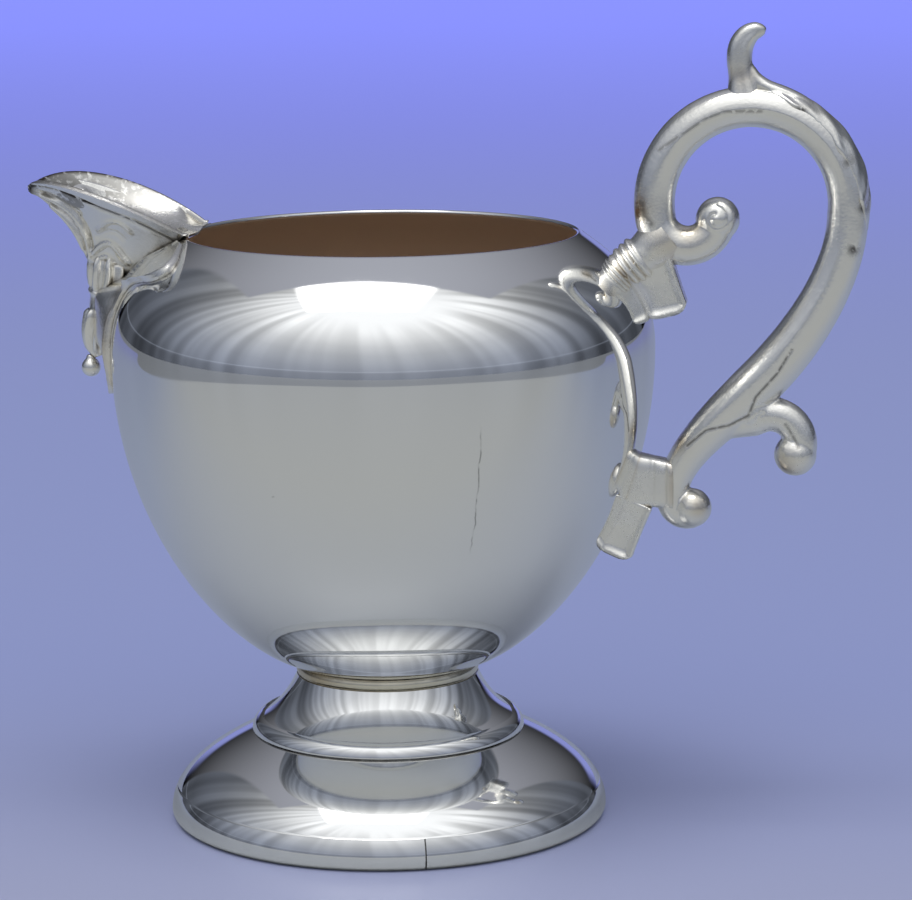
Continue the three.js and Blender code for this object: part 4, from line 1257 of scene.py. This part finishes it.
class CREAMJUG_OT_sprig(JugOperator, bpy.types.Operator):
    """Make the thumb sprig and the leaf down the crown's back"""
    bl_idname = "creamjug.sprig"
    bl_label = "Thumb sprig"

    def make(self, jug):
        handle = HandleShape(jug.handle)
        mm = handle.mm
        tall, bar, stem = mm("sprig_height"), mm("sprig_bar"), mm("stem_bar")
        out, root_turn = handle.radius + stem, 95.0
        root = on_arc(handle.crown, out, root_turn)
        path = smooth_line([(0.05, -0.2, 1.6), (0.02, 0.02, 1.3), (-0.01, 0.2, 1.08), (-0.035, 0.45, 1.1),
                            (-0.01, 0.66, 1.08), (0.085, 0.82, 0.97), (0.21, 0.9, 0.8), (0.32, 0.905, 0.58),
                            (0.385, 0.89, 0.3)], 44)
        sides = 24
        form = Form()
        form.bar([(in_plane(root + flat(a, b) * tall), w * bar) for a, b, w in path], sideways, sides,
                 lambda angle, along: 1 - 0.14 * mound(abs(abs(math.degrees(angle) - 180) - 90), 22))
        depth = 1.2
        ridge = smooth_line([(99, 0.2, 1.8), (95, 3.4, 1.5), (91, 4.3, 1.4), (88.5, 3.3, 1.5),
                             (86, 2.2, 1.6), (81, 1.25, 1.8), (73, 0.85, 1.8), (62, 0.5, 1.6),
                             (52, 0.1, 1.2)], 60)
        rings = []
        for degrees, tall_here, half_wide in ridge:
            ring = []
            for angle in angles(sides):
                rise = (tall_here + depth) / 2 * math.sin(angle) + (tall_here - depth) / 2
                place = on_arc(handle.crown, out + rise, degrees)
                ring.append(spot(place.x, half_wide * math.cos(angle), place.y))
            rings.append(ring)
        form.skin(rings)
        rows, half = 80, 16
        spreads = smooth_line([(84, 20), (76, 46), (62, 60), (45, 66), (26, 68), (10, 60), (-4, 42),
                               (-16, 12)], rows)
        inner, outer = [], []
        for share_on, (degrees, spread) in zip(shares(rows), spreads):
            lobe = max(mound(share_on - s, 0.045) for s in (0.24, 0.52, 0.79))
            low, high = [], []
            for j in range(2 * half + 1):
                across = j / half - 1
                around = math.radians(spread * (1 + 0.12 * lobe) * across)
                vein = 0.16 * mound(across, 0.14) + 0.07 * math.cos(abs(across) * 8 - share_on * 40)
                edge = ease(0, 0.22, 1 - abs(across))
                rise = 0.05 + (0.08 + vein) * edge + 0.35 * lobe * mound(abs(across) - 0.9, 0.12)
                for row, lift in ((low, -1.1), (high, rise)):
                    off = 1.04 * stem + lift
                    place = on_arc(handle.crown, handle.radius + off * math.cos(around), degrees)
                    row.append(spot(place.x, off * math.sin(around), place.y))
            inner.append(low)
            outer.append(high)
        form.plate(inner, outer)
        mesh = fused(form, "thumb_sprig", voxel=0.2, rounds=6)
        pits = [spot(83.0, -1.5, 108.7), spot(80.6, -2.2, 116.6), spot(72.5, -3.4, 125.2)]
        paint(mesh, "wear_and_shade", lambda p: max(mound((p - c).length, 1.0) for c in pits))
        paint(mesh, "stained", lambda p: 0.8 * mound((p - spot(62.5, 0, 130.5)).length, 2.2))
        add_piece("thumb_sprig", mesh, [cast_plate(jug)], ["thumb_sprig"])


class CREAMJUG_OT_joints(JugOperator, bpy.types.Operator):
    """Make the ringed ferrule, the lower socket and the two flared tongues"""
    bl_idname = "creamjug.joints"
    bl_label = "Handle joints"

    def make(self, jug):
        self.cast = trim_plate(jug)
        bowl, handle = BowlShape(jug.bowl), HandleShape(jug.handle)
        mm = mm_of(jug.joints)
        root = in_plane(flat(bowl.at(mm("upper_height"))[0], mm("upper_height")))
        end = in_plane(on_arc(handle.volute, handle.mm("volute_radius"), 230))
        self.ferrule(mm, bowl, root, end)
        head = root.lerp(end, 0.58) + spot(0.9, 0, -0.08 * mm("tongue_length"))
        self.tongue("upper_tongue", mm, bowl, head, lean=16.0, extra=1.3, fillet=2.8)
        low = mm("lower_height") - 0.4 * mm("socket_height")
        head = in_plane(flat(bowl.at(low)[0] + 0.25 * mm("tongue_end"), low))
        self.tongue("lower_tongue", mm, bowl, head, lean=-24.0, extra=0.0, fillet=2.0)
        self.socket(mm, bowl, handle)

    def ferrule(self, mm, bowl, root, end):
        axis = (end - root).normalized()
        tall = (end - root).length
        side = axis.cross(SIDEWAYS).normalized()
        first, last = mm("ferrule_root"), mm("ferrule_end")
        profile = [(-2.0, first + 0.2), (-0.6, first + 0.2)]
        bands, pitch, steps = 3, 1.25, 8
        for count in range(bands):
            middle = 0.75 + pitch * count
            for step in range(steps + 1):
                along = middle - 0.62 + 1.24 * step / steps
                swell = 0.5 * math.sin(math.pi * step / steps) ** 0.8
                profile.append((along, lerp(first, last, along / tall) + swell))
        steps = 13
        for step in range(steps + 1):
            along = lerp(4.1, tall + 0.9, step / steps)
            swell = 0.35 * math.sin(math.pi * step / steps)
            profile.append((along, lerp(first, last, along / tall) - 0.15 + swell))
        rings = []
        for along, radius in profile:
            rings.append([root + axis * along + side * (radius * math.cos(a))
                          + SIDEWAYS * (radius * math.sin(a)) for a in angles(48)])
        mesh = mesh_of(Form().skin(rings).moved(bowl.seat), "upper_ferrule")
        paint(mesh, "stained", lambda p: 0.35 * mound((p - end).length - 3.5, 1.5))
        add_piece("upper_ferrule", mesh, [self.cast], ["upper_ferrule"], crease=60)

    def tongue(self, name, mm, bowl, head, lean, extra, fillet):
        tall, neck, end = mm("tongue_length") + extra, mm("tongue_neck") / 2, 0.9 * mm("tongue_end") / 2
        thick = mm("tongue_thickness") / 2
        turned = Matrix.Rotation(math.radians(-lean), 3, "Y")
        overlap, panel = 1.3, 0.75
        head = head + turned @ spot(0, 0, overlap)
        tall += overlap
        rows, columns = 34, 30

        def width(t):
            return lerp(1.12 * neck, end, t ** 2) * (1 - 0.16 * ease(0.93, 1.0, t))

        near, far = [], []
        for t in shares(rows):
            front, back = [], []
            left, right = [head + turned @ spot(s * width(t), 0, -t * tall) for s in (-1, 1)]
            left.x -= max(left.x - bowl.at(left.z)[0] + 0.5, 0.0) * ease(0.05, 0.4, t)
            for step in shares(columns):
                across = step * 2 - 1
                cup = -0.08 * tall * across ** 4 * ease(0.6, 1, t)
                border = max(mound(1 - abs(across), 0.24), mound(t - 0.96, 0.07))
                edge = ease(0, 0.12, 1 - across) * ease(0, 0.05, 1 - t)
                depth = (thick - panel + panel * border) * lerp(0.72, 1, edge)
                depth -= 0.35 * (1 - across * across) * t
                depth += 0.9 * (1 - ease(0, 0.55, t)) + 0.5 * mound(1 + across, 0.3)
                low = left.lerp(right, step) - turned @ spot(0, 0, cup)
                front.append(low - SIDEWAYS * depth)
                back.append(low + SIDEWAYS * depth)
            near.append(front)
            far.append(back)
        form = Form().plate(near, far)
        height = head.z - 0.32 * tall
        form.ball(in_plane(flat(bowl.at(height)[0] + 0.6, height)), fillet)
        mesh = seated(fused(form, name, voxel=0.2, rounds=7), bowl)
        tip = head + turned @ spot(0, 0, -tall)
        paint(mesh, "wear_and_shade", lambda p: 0.5 * mound((p - tip).dot(turned @ spot(0, 0, 1)), 0.7))
        add_piece(name, mesh, [self.cast], [name], crease=60)

    def socket(self, mm, bowl, handle):
        tall, thick = mm("socket_height"), mm("socket_thickness") / 2
        bottom = mm("lower_height") - 0.45 * tall
        inner, outer = bowl.at(mm("lower_height"))[0] - 1.2, handle.toe.x + 0.4
        rings = []
        squareness = 0.42
        for t in shares(30):
            x = lerp(inner, outer, t)
            top = bottom + tall * lerp(1.04, 0.86, t)
            base = bottom + tall * 0.05 * math.sin(math.pi * t)
            middle, half = (top + base) / 2, (top - base) / 2
            waist = 1 - 0.1 * math.sin(math.pi * ease(0.25, 1.0, t))
            ring = []
            for angle in angles(48):
                c, s = math.cos(angle), math.sin(angle)
                ring.append(spot(x, thick * waist * math.copysign(abs(c) ** squareness, c),
                                 middle + half * math.copysign(abs(s) ** squareness, s)))
            rings.append(ring)
        mesh = seated(fused(Form().skin(rings), "lower_socket", voxel=0.2, rounds=5), bowl)
        grooves, groove_depth = (outer - 1.5, outer - 3.6), 0.16
        sculpt(mesh, lambda p, n: -groove_depth * max(mound(p.x - x, 0.4) for x in grooves) * abs(n.y))
        paint(mesh, "stained", lambda p: 0.4 * mound(p.x - outer, 1.2))
        add_piece("lower_socket", mesh, [self.cast], ["lower_socket"], crease=60)


# The bowl's mirror shows the room: a softbox overhead, and a tent of pale cloth that dims away from it.
# The tent's brightness goes by the cosine of the angle from the light's middle
TENT = [(0.0, 0.19), (0.19, 0.27), (0.38, 0.34), (0.5, 0.42), (0.6, 0.48), (0.72, 0.62), (0.8, 0.78),
        (0.9, 1.0), (0.96, 1.1)]


class CREAMJUG_OT_stage(JugOperator, bpy.types.Operator):
    """Make the floor, the studio's light and the camera"""
    bl_idname = "creamjug.stage"
    bl_label = "Stage"

    def make(self, jug):
        stage = jug.stage
        self.floor(stage)
        self.room(stage)
        self.camera(stage)
        bpy.context.scene.view_settings.view_transform = "Standard"

    def floor(self, stage):
        material = bpy.data.materials.new("Floor paper")
        material.use_nodes = True
        net = Nodes(material.node_tree)
        shader = material.node_tree.nodes["Principled BSDF"]
        shader.inputs["Roughness"].default_value = 0.32
        shader.inputs["Specular IOR Level"].default_value = 0.3
        where = net.place("Object")
        away = net.add("ShaderNodeVectorMath", {0: where}, operation="LENGTH").outputs["Value"]
        parts = net.parts(where)
        deep = parts["Y"]
        tint = net.mix(net.fade(deep, -0.15, 0.12), opaque(stage.front_floor), opaque(stage.floor))
        far = net.times(net.fade(away, 0.25, 1.5), net.fade(deep, 0.0, 0.3))
        tint = net.mix(far, tint, opaque(stage.far_floor))
        paths = net.add("ShaderNodeLightPath").outputs
        # The cloth stands on a rounded oblong around the jug that widens to the back
        middle, front, corner = 0.05, -0.76, 3.0
        widen = net.plus(net.fade(deep, 0.1, 0.9, 0.0, 1.2), 0.6)
        wide = net.size(net.over(net.minus(parts["X"], middle), widen))
        ahead = net.sum("MAXIMUM", net.over(deep, front), 0.0)
        reach = net.plus(net.sum("POWER", wide, corner), net.sum("POWER", ahead, corner))
        edge = net.fade(reach, 0.92, 1.0)
        tint = net.mix(net.times(edge, paths["Is Glossy Ray"]), tint, opaque(stage.hem))
        # The camera sees the paper bluer than the metal does
        for ray, tinge in (("Is Camera Ray", (1.0, 1.0, 1.25)), ("Is Glossy Ray", (1.0, 0.98, 0.88))):
            tint = net.mix(paths[ray], tint, net.tinged(tint, tinge))
        shader.inputs["Emission Color"].default_value = opaque(stage.far_glow)
        glow = net.times(net.fade(deep, 0.5, 2.6, 0.0, 0.5), paths["Is Camera Ray"])
        net.link(glow, shader.inputs["Emission Strength"])
        net.link(tint, shader.inputs["Base Color"])
        size = 4.0
        corners = [(-size, -size, 0), (size, -size, 0), (size, size, 0), (-size, size, 0)]
        mesh = bpy.data.meshes.new("floor")
        mesh.from_pydata(corners, [], [(0, 1, 2, 3)])
        mesh.materials.append(material)
        floor = bpy.data.objects.new("floor", mesh)
        bpy.context.scene.collection.objects.link(floor)

    def room(self, stage):
        world = bpy.data.worlds.new("Studio")
        bpy.context.scene.world = world
        world.use_nodes = True
        net = Nodes(world.node_tree)
        light = world.node_tree.nodes["Background"]
        way = net.place("Generated")
        parts = net.parts(way)
        x, y, z = parts["X"], parts["Y"], parts["Z"]
        lean = math.radians(74)
        axis = (0.025, -math.cos(lean), math.sin(lean))
        near = net.add("ShaderNodeVectorMath", {0: way, 1: axis}, operation="DOT_PRODUCT").outputs["Value"]
        ramp = net.add("ShaderNodeValToRGB", {0: near})
        steps = ramp.color_ramp.elements
        while len(steps) < len(TENT):
            steps.new(0.5)
        for step, (place, value) in zip(steps, TENT):
            step.position = place
            step.color = (value, value, value, 1)
        tent = net.times(ramp.outputs["Color"], net.fade(y, -0.25, 0.4, 1.0, 0.42))
        # Folds of the cloth fall away from the softbox, and show most at the sides
        height = net.sum("MAXIMUM", z, 0.05)
        along = net.plus(net.over(x, height), 0.08)
        ahead = net.plus(net.over(y, height), 0.165)
        around = net.sum("ARCTAN2", along, net.times(ahead, -1.0))
        pleat = net.line_noise(net.times(around, 4.2), scale=1.0, detail=1.5)
        amount = net.times(net.fade(near, 0.97, 0.85), net.fade(y, -0.85, -0.1, 0.09, 0.34))
        folds = net.times(net.fade(pleat, 0.33, 0.67, -1.0, 1.0), amount)
        tent = net.times(tent, net.plus(1.0, folds))
        seam_height, seam_glow = 0.095, 0.1
        seam = net.fade(net.size(net.minus(z, seam_height)), 0.008, 0.002)
        tent = net.times(tent, net.fade(z, 0.06, 0.1, 0.84, 1.0))
        tent = net.plus(tent, net.times(seam, seam_glow))
        tinge = net.mix(net.fade(near, 0.1, 0.9), (0.87, 0.97, 1.22, 1.0), (0.98, 1.0, 1.03, 1.0))
        cloth = net.tinged(tent, tinge)
        # The backdrop stands behind the jug, and its foot is in dusk
        spread = net.size(net.plus(x, 0.045))
        behind = net.times(net.fade(y, 0.03, 0.06), net.fade(spread, 0.55, 0.525))
        rise = net.sum("POWER", net.sum("MAXIMUM", z, 0.0), 1.35)
        sheet = net.tinged((*stage.backdrop,), rise)
        low = net.times(net.fade(z, 0.16, 0.09), net.fade(spread, 0.5, 0.3))
        sheet = net.mix(low, sheet, opaque(stage.dusk))
        glow = net.mix(behind, cloth, sheet)
        box = net.times(net.fade(net.size(along), 0.34, 0.26), net.fade(net.size(ahead), 0.235, 0.19))
        lamp = stage.softbox
        glow = net.mix(net.times(box, net.fade(z, 0.1, 0.3)), glow, (lamp, lamp, lamp, 1))
        seen = net.add("ShaderNodeLightPath").outputs["Is Camera Ray"]
        net.link(net.mix(seen, glow, (0.27, 0.30, 0.6, 1.0)), light.inputs["Color"])

    def camera(self, stage):
        place = spot(84.25, -599.47, 176.78)
        yaw, pitch, roll = -0.1189, 0.18227, -0.00999
        forward = spot(math.sin(yaw) * math.cos(pitch), math.cos(yaw) * math.cos(pitch), -math.sin(pitch))
        right = forward.cross(spot(0, 0, 1)).normalized()
        up = right.cross(forward)
        c, s = math.cos(roll), math.sin(roll)
        right, up = right * c + up * s, up * c - right * s
        turned = Matrix((right, up, -forward)).transposed().to_4x4()
        lens = bpy.data.cameras.new("camera")
        lens.lens = stage.lens
        lens.sensor_width = 36.0
        lens.sensor_fit = "HORIZONTAL"
        lens.clip_start, lens.clip_end = 0.01, 20.0
        camera = bpy.data.objects.new("camera", lens)
        camera.matrix_world = Matrix.Translation(spot(AXIS_X, 0, 0) + place * MM) @ turned
        bpy.context.scene.collection.objects.link(camera)
        bpy.context.scene.camera = camera


OPERATORS = (CREAMJUG_OT_bowl, CREAMJUG_OT_foot, CREAMJUG_OT_spout, CREAMJUG_OT_handle, CREAMJUG_OT_sprig,
             CREAMJUG_OT_joints, CREAMJUG_OT_stage)
GROUPS = (BowlSizes, FootSizes, SpoutSizes, HandleSizes, JointSizes, Finishes, StageSettings, CreamJug)


class CREAMJUG_PT_panel(bpy.types.Panel):
    """Lists the jug's pieces and what can be set on them"""
    bl_idname = "CREAMJUG_PT_panel"
    bl_label = "Cream jug"
    bl_space_type = "VIEW_3D"
    bl_region_type = "UI"
    bl_category = "Cream jug"

    def draw(self, context):
        jug = context.scene.cream_jug
        for operator in OPERATORS:
            self.layout.operator(operator.bl_idname)
        for part in ("bowl", "foot", "spout", "handle", "joints", "finishes", "stage"):
            column = self.layout.column(heading=part.capitalize())
            group = getattr(jug, part)
            for key in group.bl_rna.properties.keys():
                if key not in ("rna_type", "name"):
                    column.prop(group, key)


def register():
    for each in GROUPS + OPERATORS + (CREAMJUG_PT_panel,):
        bpy.utils.register_class(each)
    bpy.types.Scene.cream_jug = PointerProperty(type=CreamJug)


def unregister():
    del bpy.types.Scene.cream_jug
    for each in reversed(GROUPS + OPERATORS + (CREAMJUG_PT_panel,)):
        bpy.utils.unregister_class(each)


def main():
    register()
    bpy.ops.creamjug.bowl()
    bpy.ops.creamjug.foot()
    bpy.ops.creamjug.spout()
    bpy.ops.creamjug.handle()
    bpy.ops.creamjug.sprig()
    bpy.ops.creamjug.joints()
    bpy.ops.creamjug.stage()


if __name__ == "__main__":
    main()
